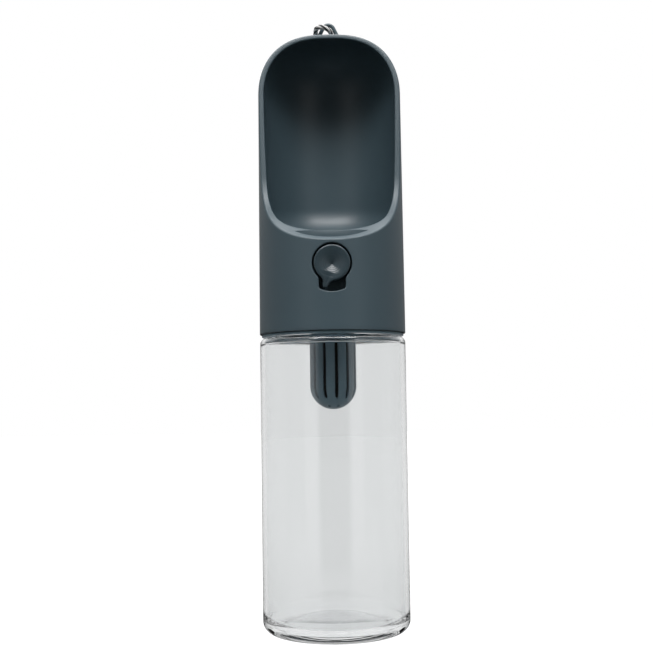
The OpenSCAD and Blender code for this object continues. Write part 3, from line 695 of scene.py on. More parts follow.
def cage_wall(radius, s):
    """Radius and height of a capsule's side at length s up from its lowest point: a quarter of
    a circle, then a straight line."""
    bend = np.minimum(s / radius, np.pi / 2)
    straight = np.maximum(s - radius * np.pi / 2, 0)
    return radius * np.sin(bend), CAGE_MID_Z - radius * np.cos(bend) + straight


def cage_side(radius):
    """One side of the cage's wall as sheets: its grid with slots and drain holes left open,
    rings from each opening in the grid to the slot's or hole's true edge, and those edges."""
    low = np.arccos((CAGE_MID_Z - SLOT_LOW_Z) / radius) * radius
    high = radius * np.pi / 2 + SLOT_HIGH_Z - CAGE_MID_Z
    top = radius * np.pi / 2 + CAGE_TOP - CAGE_MID_Z
    s = np.concatenate([
        np.linspace(0.02, low - 0.5, ROWS_BELOW_SLOTS + 1),
        np.linspace(low - 0.5, high + 0.5, SLOT_ROWS + 1)[1:],
        np.linspace(high + 0.5, top - 0.15, 8)[1:]])
    r, z = cage_wall(radius, s)
    t = 2 * np.pi * np.arange(CAGE_COLS) / CAGE_COLS + math.radians(SLOT_OFF_DEG)
    x, y = r[:, None] * np.cos(t), r[:, None] * np.sin(t)
    grid = np.stack([x, y, np.repeat(z[:, None], CAGE_COLS, axis=1)], axis=-1)
    openings = []
    sheets = []
    edges = []
    per_slot = CAGE_COLS // SLOT_COUNT
    for i in range(SLOT_COUNT):
        mid_col = int(per_slot * (i + 0.5))
        rows = (ROWS_BELOW_SLOTS, ROWS_BELOW_SLOTS + SLOT_ROWS)
        cols = (mid_col - SLOT_HALF_COLS, mid_col + SLOT_HALF_COLS)
        row, col = round_block(rows, cols)
        across = r[row] * np.sin(t[col % CAGE_COLS] - t[mid_col])
        outer = np.stack([across, s[row]], axis=1)
        angles = np.arctan2(outer[:, 1] - (low + high) / 2, outer[:, 0])
        inner = edge_of(slot_field(low, high), (0, (low + high) / 2), angles, even=0.9, far=40)
        flat = rows_between(outer, inner, 4)
        flat_r, flat_z = cage_wall(radius, flat[..., 1])
        turn = t[mid_col] + np.arcsin(np.clip(flat[..., 0] / flat_r, -1, 1))
        ring = np.stack([flat_r * np.cos(turn), flat_r * np.sin(turn), flat_z], axis=-1)
        sheets.append(whole(ring))
        edges.append(ring[-1])
        openings.append((rows[0], rows[1], range(*cols)))
    for side in (-1, 1):
        middle = np.array([side * DRAIN_AT[0], DRAIN_AT[1]])
        mid_row = int(np.argmin(np.abs(r[:ROWS_BELOW_SLOTS + 1] - np.hypot(*middle))))
        turn = (math.atan2(middle[1], middle[0]) - t[0]) % (2 * np.pi)
        mid_col = int(round(turn / (2 * np.pi) * CAGE_COLS))
        rows, cols = (mid_row - 3, mid_row + 3), (mid_col - 7, mid_col + 7)
        row, col = round_block(rows, cols)
        outer = grid[row, col % CAGE_COLS][:, :2]
        angles = np.arctan2(*(outer - middle).T[::-1])
        inner = middle + edge_of(drain_field, (0, 0), angles, even=0.3, far=3)
        flat = rows_between(outer, inner, 4)
        down = np.sqrt(radius ** 2 - np.sum(flat ** 2, axis=-1))
        ring = np.concatenate([flat, (CAGE_MID_Z - down)[..., None]], axis=-1)
        sheets.append(whole(ring))
        edges.append(ring[-1])
        openings.append((rows[0], rows[1], range(*cols)))
    faces = quads(len(s), CAGE_COLS, around=True, without=openings)
    pole = np.vstack([grid[:1], np.repeat([[[0, 0, CAGE_MID_Z - radius]]], CAGE_COLS, axis=1)])
    return [(grid, faces), whole(pole)] + sheets, edges, grid[-1]


outer_sheets, outer_edges, outer_top = cage_side(CAGE_R)
inner_sheets, inner_edges, inner_top = cage_side(CAGE_R - CAGE_WALL)
between = [whole(rows_between(a, b, 3)) for a, b in zip(outer_edges, inner_edges)]
rim = np.stack([outer_top, outer_top * [1, 1, 0] * 0.99 + [0, 0, CAGE_TOP],
                inner_top * [1, 1, 0] * 1.01 + [0, 0, CAGE_TOP], inner_top])
CAGE_PLASTIC = moulded_plastic("cage_plastic", head_grey(1.6), 0.42, Specular_IOR_Level=0.25)
cage_sheets = outer_sheets + inner_sheets + between + [whole(rim)]
cage = piece("filter_cage", cage_sheets, "filter", CAGE_PLASTIC, nodes=["filter_cage"])
cage_edges = cage.modifiers.new("worn_edges", "BEVEL")
cage_edges.width = 0.00012
cage_edges.segments = 2
cage_edges.limit_method = "ANGLE"
cage_edges.angle_limit = math.radians(50)

# Head shell: one moulding in satin blue-grey. A slightly tapered tube with a squarish dome, cut
# open at the front along a curve, with a rounded trough, a pocket for the dial and a lug.
SHELL_Z = SHOULDER_Z + 1.4
SHELL_R_LOW = 33.1
SHELL_R_TOP = 32.7
SHELL_WALL = 2.5
DOME_Z = 243
DOME_RISE = 29.8
DOME_POWER = 2.7
DOME_TOP_POWER = 2.1
DOME_WALL = 2.3
LIP_Z = 171.7
FLOOR_FRONT_Z = 176.4
FLOOR_RISE = 2.5
CORNER_FRONT = 7
CORNER_BACK = 18
RIM_ARC_R = 41
RIM_ARC_AT = (-50, LIP_Z + 38.3)
RIM_ARC_END_DEG = 83
TROUGH_R = SHELL_R_TOP - SHELL_WALL
HOLLOW_R = TROUGH_R + 0.3
EDGE_OUT = 0.9
EDGE_IN = 0.8
EDGE_LOW = 0.45
NOTCH_DEPTH = 1.2
NOTCH_HALF_W = 1.5
LIP_DROP = 0.85
LIP_TURN = 0.45
LIP_EDGE_OUT = 0.4
LIP_EDGE_IN = 0.25
SHELL_COLS = 240
SHELL_ROWS = 84
DIAL_Z = 161.9
DIAL_HOLE_R = 8.6
WINDOW_HALF = 5.8
WINDOW_REACH = 12.4
POCKET_FLOOR_Y = -26.0
POCKET_WALL = 1.4
STEM_HOLE_R = 2.2
GROMMET_R = 4.4
outlet_low, outlet_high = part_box("outlet_grommet")
OUTLET_Y = 500 * (outlet_low[1] + outlet_high[1])

floor_slope = FLOOR_RISE / (2 * TROUGH_R)
rim_start = math.acos((RIM_ARC_AT[1] - LIP_Z) / RIM_ARC_R)
rim_end = math.radians(RIM_ARC_END_DEG)
rim_bend = np.array(RIM_ARC_AT) + RIM_ARC_R * np.array([math.sin(rim_end), -math.cos(rim_end)])
rim_lean = unit(np.array([0.4, DOME_Z + DOME_RISE]) - rim_bend)


def dome_field(p, wall, rise):
    """Below zero inside a turned form: a wall, then a dome with one power sideways and another
    upwards, which set how square it is."""
    up = np.clip((p[..., 2] - DOME_Z) / rise, 0, None)
    out = np.hypot(p[..., 0], p[..., 1]) / wall
    return (out ** DOME_POWER + up ** DOME_TOP_POWER - 1) * wall / DOME_POWER


def outside(p):
    """Below zero inside the head's outer form, whose wall tapers upwards."""
    low = np.clip((DOME_Z - p[..., 2]) / (DOME_Z - SHELL_Z), 0, 1)
    return dome_field(p, SHELL_R_TOP + (SHELL_R_LOW - SHELL_R_TOP) * low, DOME_RISE)


def trough(p):
    """Below zero in the trough: inside its wall and above its sloping floor, with a rounding
    between them that grows from front to back."""
    r = np.hypot(p[..., 0], p[..., 1])
    corner = CORNER_FRONT + (CORNER_BACK - CORNER_FRONT) * (1 + p[..., 1] / np.maximum(r, 1e-9)) / 2
    floor = FLOOR_FRONT_Z + (p[..., 1] + TROUGH_R - CORNER_FRONT) * floor_slope
    return round_max(r - TROUGH_R, (floor - p[..., 2]) / math.hypot(1, floor_slope), corner)


def cavity(p):
    """Below zero in the trough and under the hood."""
    return np.maximum(trough(p), dome_field(p, TROUGH_R, DOME_RISE - DOME_WALL))


def hollow(p):
    """Below zero in the space under the trough, which follows the trough's underside."""
    r = np.hypot(p[..., 0], p[..., 1])
    return round_max(r - HOLLOW_R, SHELL_WALL - trough(p), 1.0)


def rim_point(q):
    """Point of the front cut for a distance across and a length up the curve from the lip: an
    arc in side view, then a straight line that leans back."""
    angle = np.clip(rim_start + q[..., 1] / RIM_ARC_R, None, rim_end)
    past = np.maximum(q[..., 1] - (rim_end - rim_start) * RIM_ARC_R, 0)
    y = RIM_ARC_AT[0] + RIM_ARC_R * np.sin(angle) + past * rim_lean[0]
    z = RIM_ARC_AT[1] - RIM_ARC_R * np.cos(angle) + past * rim_lean[1]
    return np.stack([q[..., 0], y, z], axis=-1)


def slope(field, p, step=0.01):
    """Direction in which a field grows fastest, by small steps along each axis."""
    steps = np.eye(p.shape[-1]) * step
    return unit(np.stack([field(p + d) - field(p - d) for d in steps], axis=-1))


def swept_ways(start, end, rows):
    """Directions from start to end along great circles, in even steps."""
    angle = np.arccos(np.clip(np.sum(start * end, axis=-1), -1, 1))[..., None]
    share = np.linspace(0, 1, rows)[:, None, None]
    return (np.sin((1 - share) * angle) * start + np.sin(share * angle) * end) / np.sin(angle)


def bent(a, corner, b, rows=6):
    """Rows of a rounded edge: from a to b, leaving and arriving towards the corner."""
    t = np.linspace(0, 1, rows)[:, None, None]
    return (1 - t) ** 2 * a + 2 * t * (1 - t) * corner + t ** 2 * b


def ring_at(radius, z):
    """One point for each column round the head, from the front towards +X."""
    t = 2 * np.pi * np.arange(SHELL_COLS) / SHELL_COLS
    return np.stack([radius * np.sin(t), -radius * np.cos(t), np.full(SHELL_COLS, float(z))], axis=1)


def rim_loop(field, turn):
    """Edge of a form on the front cut's own flat sheet, at angles round the sheet's middle, and
    the directions that point inwards, square to that edge."""
    middle = np.array([0.0, 52.0])
    way = np.stack([np.sin(turn), -np.cos(turn)], axis=1)
    line = middle + reach(lambda q: field(rim_point(q)), middle, way, 90)[:, None] * way
    ahead = unit(np.roll(line, -1, axis=0) - np.roll(line, 1, axis=0))
    return line, np.stack([-ahead[:, 1], ahead[:, 0]], axis=1)


def surface_from(field, centre, points, far=200):
    """Points moved along the line from the centre until they lie on the field's surface."""
    way = unit(points - centre)
    return centre + reach(field, centre, way, far)[..., None] * way


fine_turn = np.linspace(0, 2 * np.pi, 2881)
fine_line, _ = rim_loop(outside, fine_turn[:-1])
fine_line = np.vstack([fine_line, fine_line[:1]])
fine_along = np.insert(np.cumsum(np.linalg.norm(np.diff(fine_line, axis=0), axis=1)), 0, 0)
rim_turn = np.interp(fine_along[-1] * np.arange(SHELL_COLS) / SHELL_COLS, fine_along, fine_turn)

out_line, out_inward = rim_loop(outside, rim_turn)
in_line, in_inward = rim_loop(cavity, rim_turn)
out_corner, in_corner = rim_point(out_line), rim_point(in_line)
near_front = np.minimum(rim_turn, 2 * np.pi - rim_turn)
at_lip = np.exp(-(near_front / LIP_TURN) ** 2)[:, None]
at_lip_middle = np.exp(-(near_front / (LIP_TURN - 0.1)) ** 2)[:, None]
edge_in = EDGE_IN + (LIP_EDGE_IN - EDGE_IN) * at_lip_middle
edge_out = EDGE_OUT + (LIP_EDGE_OUT - EDGE_OUT) * at_lip
out_corner[:, 2:] -= LIP_DROP * at_lip
out_on_cut = out_line + edge_out * out_inward
in_on_cut = in_line - edge_in * in_inward
OUT_CENTRE = np.array([0, 0, 205.0])
CAVITY_CENTRE = np.array([0, 8, 215.0])
HOLLOW_CENTRE = np.array([0, 0, 140.0])


def away_from_rim(corner, field):
    """Direction along a surface, square to the rim and away from the front cut."""
    ahead = unit(np.roll(corner, -1, axis=0) - np.roll(corner, 1, axis=0))
    return np.cross(ahead, slope(field, corner))


out_start = surface_from(outside, OUT_CENTRE, out_corner + edge_out * away_from_rim(out_corner, outside))
in_start = surface_from(cavity, CAVITY_CENTRE, in_corner + edge_in * away_from_rim(in_corner, cavity))
notch = NOTCH_DEPTH * np.exp(-(in_start[:, 0] / NOTCH_HALF_W) ** 2) * (near_front < 1)
in_corner[:, 2] -= notch
in_start[:, 2] -= notch
BAND_ROWS = 5
cut_band = rim_point(rows_between(out_on_cut, in_on_cut, BAND_ROWS))
cut_band[..., 2:] -= rows_between(LIP_DROP * at_lip, 0 * at_lip, BAND_ROWS)
out_rim = bent(out_start, out_corner, cut_band[0])
in_rim = bent(cut_band[-1], in_corner, in_start)

out_low = ring_at(SHELL_R_LOW, SHELL_Z + EDGE_LOW)
out_ways = swept_ways(unit(out_start - OUT_CENTRE), unit(out_low - OUT_CENTRE), SHELL_ROWS)
out_grid = OUT_CENTRE + reach(outside, OUT_CENTRE, out_ways, 200)[..., None] * out_ways
out_grid[0], out_grid[-1] = out_start, out_low

CAVITY_ROWS = 64
back_way = unit(np.array([0, 1.0, -0.15]))
in_ways = swept_ways(
    unit(in_start - CAVITY_CENTRE), np.broadcast_to(back_way, in_start.shape), CAVITY_ROWS)
in_grid = CAVITY_CENTRE + reach(cavity, CAVITY_CENTRE, in_ways, 200)[..., None] * in_ways
in_grid[0] = in_start

# The dial's opening is one flat outline, a round hole joined to a window below it. Rings lead
# from the shell's grid to its rounded edge, down the pocket and back out behind it.
DIAL_CENTRE = np.array([0.0, DIAL_Z])


def opening_field(q):
    """Below zero in the dial's opening: a round hole, or the window that the pointer sweeps."""
    x, z = q[..., 0], q[..., 1] - DIAL_Z
    hole = np.hypot(x, z) - DIAL_HOLE_R
    window = round_max(round_max(np.abs(x) - WINDOW_HALF, np.hypot(x, z) - WINDOW_REACH, 0.7), z, 0.2)
    return -round_max(-hole, -window, 0.8)


front = out_grid[:, 0, 2]
dial_rows = (1, int(np.argmin(np.abs(front - (DIAL_Z - WINDOW_REACH - 2.2)))))
dial_cols = (-13, 13)
row, col = round_block(dial_rows, dial_cols)
dial_block = out_grid[row, col % SHELL_COLS]
dial_angles = np.arctan2(dial_block[:, 2] - DIAL_Z, dial_block[:, 0])
opening = edge_of(opening_field, DIAL_CENTRE, dial_angles, even=0.7)
grow = slope(opening_field, opening)


def on_front(flat, field, start_y=-10.0):
    """Points of a front view moved forward until they lie on a surface."""
    start = np.stack([flat[..., 0], np.full(flat.shape[:-1], start_y), flat[..., 1]], axis=-1)
    way = np.array([0, -1.0, 0])
    return start + reach(field, start, way, 40)[..., None] * way


def at_depth(flat, y):
    """Points of a front view at one distance from the axis."""
    return np.stack([flat[..., 0], np.full(flat.shape[:-1], float(y)), flat[..., 1]], axis=-1)


DIAL_EDGE = 0.45
GATHER_ROWS = 7
GATHER_POWER = 0.8
to_edge = rows_between(dial_block[:, [0, 2]], opening + DIAL_EDGE * grow, GATHER_ROWS, GATHER_POWER)
face_rings = on_front(to_edge, outside)
face_rings[0] = dial_block
mouth = on_front(opening[None], outside)[0]
rounding = bent(face_rings[-1], mouth, mouth + [0, DIAL_EDGE, 0], 5)
wall_end = at_depth(opening, POCKET_FLOOR_Y - 0.4)
pocket_wall = rows_between(rounding[-1], wall_end, 5)
foot = bent(
    wall_end, at_depth(opening, POCKET_FLOOR_Y), at_depth(opening - 0.4 * grow, POCKET_FLOOR_Y), 4)
stem_angles = np.arctan2(opening[:, 1] - DIAL_Z, opening[:, 0])
stem_hole = DIAL_CENTRE + STEM_HOLE_R * np.stack([np.cos(stem_angles), np.sin(stem_angles)], axis=1)
cup_y = POCKET_FLOOR_Y + POCKET_WALL
pocket_floor = rows_between(foot[-1], at_depth(stem_hole, POCKET_FLOOR_Y), 5)
cup_edge = opening + POCKET_WALL * grow
cup_back = rows_between(at_depth(stem_hole, cup_y), at_depth(cup_edge, cup_y), 5)

hollow_z = np.concatenate([front[dial_rows[0]:dial_rows[1] + 1], [SHELL_Z + 3, SHELL_Z + EDGE_LOW]])
hollow_grid = np.stack([ring_at(HOLLOW_R, z) for z in hollow_z])
row, col = round_block((0, dial_rows[1] - dial_rows[0]), dial_cols)
hollow_block = hollow_grid[row, col % SHELL_COLS]
to_cup = rows_between(cup_edge, hollow_block[:, [0, 2]], GATHER_ROWS, GATHER_POWER)
hollow_rings = on_front(to_cup, hollow)
hollow_rings[-1] = hollow_block
cup_wall = rows_between(cup_back[-1], hollow_rings[0], 5)
pocket_sheets = [whole(part) for part in (
    face_rings, rounding, pocket_wall, foot, pocket_floor,
    np.stack([at_depth(stem_hole, POCKET_FLOOR_Y), at_depth(stem_hole, cup_y)]),
    cup_back, cup_wall, hollow_rings)]
dial_gap = (dial_rows[0], dial_rows[1], range(*dial_cols))

# The outlet goes down through the trough's floor: a recess for the grommet's rim, then a bore.
# Rings lead from the trough's grid to the recess, and from the bore to the underside's grid.
CEILING_ROWS = 30
OUTLET_BLOCK = 8
OUTLET_MARGIN = 6.2
straight_up = np.broadcast_to([0, 0.02, 1.0], hollow_grid[0].shape)
ceiling_ways = swept_ways(unit(hollow_grid[0] - HOLLOW_CENTRE), straight_up, CEILING_ROWS)
ceiling_grid = HOLLOW_CENTRE + reach(hollow, HOLLOW_CENTRE, ceiling_ways, 90)[..., None] * ceiling_ways
ceiling_grid[0] = hollow_grid[0]


def over_outlet(flat, field, from_z, upwards):
    """Points of a view from above, moved up or down from a height to a surface."""
    start = np.concatenate([flat, np.full((*flat.shape[:-1], 1), float(from_z))], axis=-1)
    way = np.array([0, 0, 1.0 if upwards else -1.0])
    return start + reach(field, start, way, 60)[..., None] * way


def circle_field(radius):
    """Below zero within a radius of the outlet's axis, in a view from above."""
    return lambda q: np.hypot(q[..., 0], q[..., 1] - OUTLET_Y) - radius


in_rows = (0, OUTLET_BLOCK)
outlet_cols = (-7, 7)
row, col = round_block(in_rows, outlet_cols)
in_block = in_grid[row, col % SHELL_COLS]
outlet_centre = np.array([0.0, OUTLET_Y])
outlet_angles = np.arctan2(in_block[:, 1] - OUTLET_Y, in_block[:, 0])
recess = edge_of(circle_field(GROMMET_R + 0.05), outlet_centre, outlet_angles, even=0.8)
to_recess = rows_between(in_block[:, :2], recess, GATHER_ROWS, GATHER_POWER)
recess_rings = over_outlet(to_recess, cavity, 200, False)
recess_rings[0] = in_block
bore = outlet_centre + (recess - outlet_centre) * (GROMMET_R - 0.95) / (GROMMET_R + 0.05)
LEDGE_Z = FLOOR_FRONT_Z - 1
first_low_row = int(np.argmin(np.abs(ceiling_grid[:, 0, 1] - (OUTLET_Y - OUTLET_MARGIN))))
low_rows = (first_low_row, first_low_row + OUTLET_BLOCK)
row, col = round_block(low_rows, outlet_cols)
low_block = ceiling_grid[row, col % SHELL_COLS]
to_low = rows_between(bore, low_block[:, :2], GATHER_ROWS, GATHER_POWER)
low_rings = over_outlet(to_low, hollow, 150, True)
low_rings[-1] = low_block


def level(flat, z):
    """Points of a view from above at one height."""
    return np.concatenate([flat, np.full((*flat.shape[:-1], 1), float(z))], axis=-1)


outlet_wall = np.stack([recess_rings[-1], level(recess, LEDGE_Z), level(bore, LEDGE_Z), low_rings[0]])
outlet_sheets = [whole(part) for part in (recess_rings, outlet_wall, low_rings)]
in_gap = (0, OUTLET_BLOCK, range(*outlet_cols))
low_gap = (low_rows[0], low_rows[1], range(*outlet_cols))

# The skirt's lower edge is rounded inside and out, the lug is a bar bent into an arch whose feet
# flare into the dome, and two small keys inside the skirt lock the head to the closure.
LUG_R = 2.7
LUG_BAR_R = 0.9
LUG_LEAN_DEG = 26
LUG_TOP_Z = 280.1
LUG_Y = 7
low_edge = np.concatenate([
    bent(out_low, ring_at(SHELL_R_LOW, SHELL_Z), ring_at(SHELL_R_LOW - EDGE_LOW, SHELL_Z), 5),
    bent(ring_at(HOLLOW_R + EDGE_LOW, SHELL_Z), ring_at(HOLLOW_R, SHELL_Z), hollow_grid[-1], 5)])


def lug_sheet():
    """Round bar along a line: a leg that leans inwards from the dome, an arc over the top, and
    the other leg down. Its radius grows towards each foot, so that it runs into the dome."""
    lean = math.radians(LUG_LEAN_DEG)
    arch_z = LUG_TOP_Z - LUG_BAR_R - LUG_R
    half = np.linspace(math.pi - lean, lean, 41)
    arch = np.stack([LUG_R * np.cos(half), np.full(41, LUG_Y), arch_z + LUG_R * np.sin(half)], axis=1)
    down = np.linspace((arch[0, 2] - DOME_Z - DOME_RISE + 1.9) / math.cos(lean), 0, 22)[:-1, None]
    leg = arch[0] + down * [-math.sin(lean), 0, -math.cos(lean)]
    line = np.vstack([leg, arch, leg[::-1] * [-1, 1, 1]])
    across = unit(np.gradient(line, axis=0))
    side = np.broadcast_to([0, 1.0, 0], line.shape)
    over = np.cross(across, side)
    flare = 0.6 * np.clip((273.2 - line[:, 2]) / 1.8, 0, 1) ** 2
    t = np.linspace(0, 2 * np.pi, 33)[:-1]
    ring = np.cos(t)[None, :, None] * side[:, None] + np.sin(t)[None, :, None] * over[:, None]
    grid = line[:, None] + (LUG_BAR_R + flare)[:, None, None] * ring
    ends = np.stack([np.repeat(line[i][None], 32, axis=0) for i in (0, -1)])
    return np.concatenate([ends[:1], grid, ends[1:]])


def key_sheet(side):
    """Small upright key inside the skirt: a rounded rectangle, drawn in towards its ends."""
    t = np.linspace(0, 2 * np.pi, 25)[:-1]
    x = np.abs(np.cos(t)) ** 0.3 * np.sign(np.cos(t)) * 1.0
    y = np.abs(np.sin(t)) ** 0.3 * np.sign(np.sin(t)) * 1.5
    shrink = np.array([0, 0.9, 1, 1, 0.9, 0])[:, None]
    z = plate_top - PLATE_T + 0.4 + np.array([0, 0, 0.2, 9.8, 10, 10])[:, None] + 0 * t
    return np.stack([side * (HOLLOW_R - 0.4) + shrink * x, shrink * y, z], axis=-1)


SHELL_PLASTIC = moulded_plastic("shell_plastic", head_grey(), 0.4, spread=0.1)
back_pole = np.stack([in_grid[-2], np.broadcast_to(CAVITY_CENTRE + back_way * reach(
    cavity, CAVITY_CENTRE, back_way, 90), in_start.shape)])
shell_sheets = [
    (out_grid, quads(*out_grid.shape[:2], around=True, without=[dial_gap])),
    (in_grid[:-1], quads(CAVITY_ROWS - 1, SHELL_COLS, around=True, without=[in_gap])),
    (hollow_grid, quads(len(hollow_z), SHELL_COLS, around=True,
                        without=[(0, dial_rows[1] - dial_rows[0], range(*dial_cols))])),
    (ceiling_grid[:-1], quads(CEILING_ROWS - 1, SHELL_COLS, around=True, without=[low_gap])),
    whole(np.stack([ceiling_grid[-2], np.broadcast_to(ceiling_grid[-1].mean(axis=0), in_start.shape)])),
    whole(back_pole), whole(out_rim), whole(cut_band), whole(in_rim), whole(low_edge),
    whole(lug_sheet()), whole(key_sheet(-1)), whole(key_sheet(1))]
piece("scoop_shell", shell_sheets + pocket_sheets + outlet_sheets, "head",
      SHELL_PLASTIC, nodes=["scoop_shell"])

# Outlet grommet: soft grey nozzle ring in the trough's floor, where the water comes up.
outlet_grid = turned([
    [2.3, -3], [GROMMET_R - 1, -3], [GROMMET_R - 1, 0.02], [GROMMET_R, 0.02], [GROMMET_R, 0.9], [1.8, 0.9],
    [1.8, 0.3], [2.3, 0.3]], radius=0.25, closed=True, cols=64)
piece("outlet_grommet", [whole(outlet_grid + np.array([0, OUTLET_Y, LEDGE_Z]))], "head",
      GREY_SILICONE, nodes=["outlet_grommet"])

# Valve, its seals, screws and spring: natural white moulding, black rubber and bright steel,
# closed in between the closure and the trough. The solids already have their true shapes.
VALVE_PLASTIC = moulded_plastic("valve_plastic", (0.6, 0.59, 0.55), 0.45)
BLACK_RUBBER = moulded_plastic("black_rubber", (0.012, 0.012, 0.013), 0.6, grain_um=3.0)


def steel_material():
    """Bright drawn steel with fine lines from drawing, turned or stretched along X."""
    made, tree, shader = new_material("steel", Metallic=1.0, Base_Color=(0.6, 0.61, 0.62, 1))
    spot = node(tree, "Mapping", Vector=place(tree))
    spot.inputs["Scale"].default_value = (0.2, 1, 1)
    lines = node(tree, "TexNoise", Vector=spot.outputs[0], Scale=4000, Detail=2)
    rough = maths(tree, "ADD", 0.18, maths(tree, "MULTIPLY", lines.outputs[0], 0.2))
    link(tree, rough, shader.inputs["Roughness"])
    bump(tree, shader, lines.outputs[0], 0.000002)
    return made


STEEL = steel_material()
for names, slot, material in (
        (("valve_body", "gland_bush", "spring_cap", "valve_stem"), "valve_plastic", VALVE_PLASTIC),
        (("inlet_seal", "stem_seal", "spring_cap_seal", "poppet_seal"), "black_rubber", BLACK_RUBBER),
        (("valve_screws", "return_spring", "dial_clip"), "steel", STEEL)):
    for name in names:
        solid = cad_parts[name]
        solid.data.materials.clear()
        solid.data.materials.append(material)

# Button dial: turned dish with a rolled rim, in one piece with its teardrop pointer. It is
# glossier than the shell, and fine rings from the tool's lathe show in the dish.
DIAL_FRONT = -32.9
DIAL_T = 4.3
DIAL_R = 7.9
POINTER_REACH = 11.4
POINTER_TIP_R = 1.25
POINTER_DEG = 17
DISH_R = 6.1
DISH_EDGE_DEPTH = 0.12
DISH_DEPTH = 2.0
DISH_LOW = 0.8
RING_PITCH = 1.0
RING_HEIGHT = 0.02
STEM_HEAD_R = 3.7
DIAL_COLS = 180
DIAL_RIM = 0.85

pointer_way = np.array([-math.sin(math.radians(POINTER_DEG)), -math.cos(math.radians(POINTER_DEG))])


def dial_field(q):
    """Below zero in the dial's outline: a disc and a tapering pointer, with wide fillets."""
    disc = np.hypot(q[..., 0], q[..., 1]) - DIAL_R
    along = q @ pointer_way
    across = np.abs(q[..., 0] * pointer_way[1] - q[..., 1] * pointer_way[0])
    length = POINTER_REACH - POINTER_TIP_R
    share = np.clip(along / length, 0, 1)
    half = 3.4 + (POINTER_TIP_R - 3.4) * share ** 0.8
    arm = np.hypot(across, along - share * length) - half
    return -round_max(-disc, -arm, 1.6)


dial_turn = 2 * np.pi * np.arange(DIAL_COLS) / DIAL_COLS
dial_edge = edge_of(dial_field, (0, 0), dial_turn, even=0.35)
dial_grow = slope(dial_field, dial_edge)


def dish_depth(q):
    """Depth of the dial's face behind its front: a dish that grows steeper towards its middle,
    which lies DISH_LOW below the axis, with fine turned rings, a rolled rim, and a shallow
    channel that leads down the pointer."""
    r = np.hypot(q[..., 0], q[..., 1])
    r = np.hypot(q[..., 0], q[..., 1] + DISH_LOW * np.clip(1 - r / DISH_R, 0, 1))
    inside = np.clip(1 - r / DISH_R, 0, 1)
    dish = DISH_EDGE_DEPTH + (DISH_DEPTH - DISH_EDGE_DEPTH) * inside ** 1.3
    rings = RING_HEIGHT * np.cos(2 * np.pi * r / RING_PITCH) * np.clip(inside * 3, 0, 1)
    flat_r = DIAL_R - DIAL_RIM
    rim_roll = DISH_EDGE_DEPTH * np.clip((flat_r - r) / (flat_r - DISH_R), 0, 1) ** 2
    face = np.where(r < DISH_R, dish + rings, rim_roll)
    along = q @ pointer_way
    across = q[..., 0] * pointer_way[1] - q[..., 1] * pointer_way[0]
    on_pointer = np.clip((along - 5.0) / 4.0, 0, 1)
    width = 2.6 - 1.6 * on_pointer
    channel = 0.42 * np.exp(-(across / width) ** 2) * np.clip((along - 4.2) / 1.6, 0, 1)
    return np.maximum(face, 0) + channel + 0.25 * on_pointer ** 2


face_edge = dial_edge - DIAL_RIM * dial_grow
dish_radii = np.linspace(0.05, DISH_R, 60)
dish_flat = dish_radii[:, None, None] * np.stack([np.cos(dial_turn), np.sin(dial_turn)], axis=1)
face_flat = np.concatenate([dish_flat, rows_between(dish_flat[-1], face_edge, 15)[1:]])
face_depth = dish_depth(face_flat)
dial_back = DIAL_FRONT + DIAL_T


def dial_points(flat, y):
    """Points of a front view of the dial at depths y, in the row's own frame."""
    return np.stack([flat[..., 0], np.broadcast_to(y, flat.shape[:-1]), DIAL_Z + flat[..., 1]], axis=-1)


dial_face = dial_points(face_flat, DIAL_FRONT + face_depth)
edge_y = DIAL_FRONT + face_depth[-1]
dial_side = dial_points(dial_edge, edge_y + DIAL_RIM)
dial_rounding = bent(dial_face[-1], dial_points(dial_edge, edge_y), dial_side, 7)
back_edge = dial_edge - 0.3 * dial_grow
recess_way = np.stack([np.cos(dial_turn), np.sin(dial_turn)], axis=1)
recess_r = STEM_HEAD_R + 0.2
recess_y = dial_back - 1.9
dial_rest = np.stack([
    dial_rounding[-1], dial_points(dial_edge, dial_back - 0.3), dial_points(back_edge, dial_back),
    dial_points(recess_way * (recess_r + 0.2), dial_back),
    dial_points(recess_way * recess_r, dial_back - 0.2), dial_points(recess_way * recess_r, recess_y),
    dial_points(recess_way * 0.02, recess_y)])
on_axis = np.zeros((1, DIAL_COLS, 2))
dial_middle = dial_points(on_axis, DIAL_FRONT + dish_depth(on_axis))
DIAL_PLASTIC = moulded_plastic("dial_plastic", head_grey(0.62), 0.24, grain_um=1.5, spread=0.08)
dial_sheets = [whole(part) for part in (
    np.concatenate([dial_middle, dial_face]), dial_rounding, dial_rest,
    np.stack([dial_rest[-1], dial_points(on_axis[0], recess_y)]))]
piece("button_dial", dial_sheets, "dial", DIAL_PLASTIC, nodes=["button_dial"])

# Studio: white floor and surround, with one wide soft lamp high in front and one high behind. The
# plastics reflect soft panels at the sides and a dim front, where the camera stands. Seen
# directly or through the bottle all is white, but the bottle's walls mirror the dim front.
KEY_LEVEL = 14.5
BACK_LEVEL = 9.0
FRONT_LEVEL = 0.03
FLOOR_LEVEL = 0.9
FLOOR_THROUGH_LEVEL = 0.7
FLOOR_HALF_M = 3
DARK_SIDE_DEG = 26
DARK_UP_DEG = 30
DARK_SOFT_DEG = 7

world = bpy.data.worlds.new("studio")
bpy.context.scene.world = world
world.use_nodes = True
sky = world.node_tree
background = sky.nodes["Background"]
way = node(sky, "SeparateXYZ", Vector=sky.nodes.new("ShaderNodeTexCoord").outputs["Generated"])


def bearing_deg(tree, towards):
    """Degrees round from the front, to either side, of a direction or a place."""
    ahead = maths(tree, "MULTIPLY", towards.outputs["Y"], -1.0)
    turn = maths(tree, "ARCTAN2", towards.outputs["X"], ahead)
    return maths(tree, "MULTIPLY", maths(tree, "ABSOLUTE", turn), 180 / math.pi)


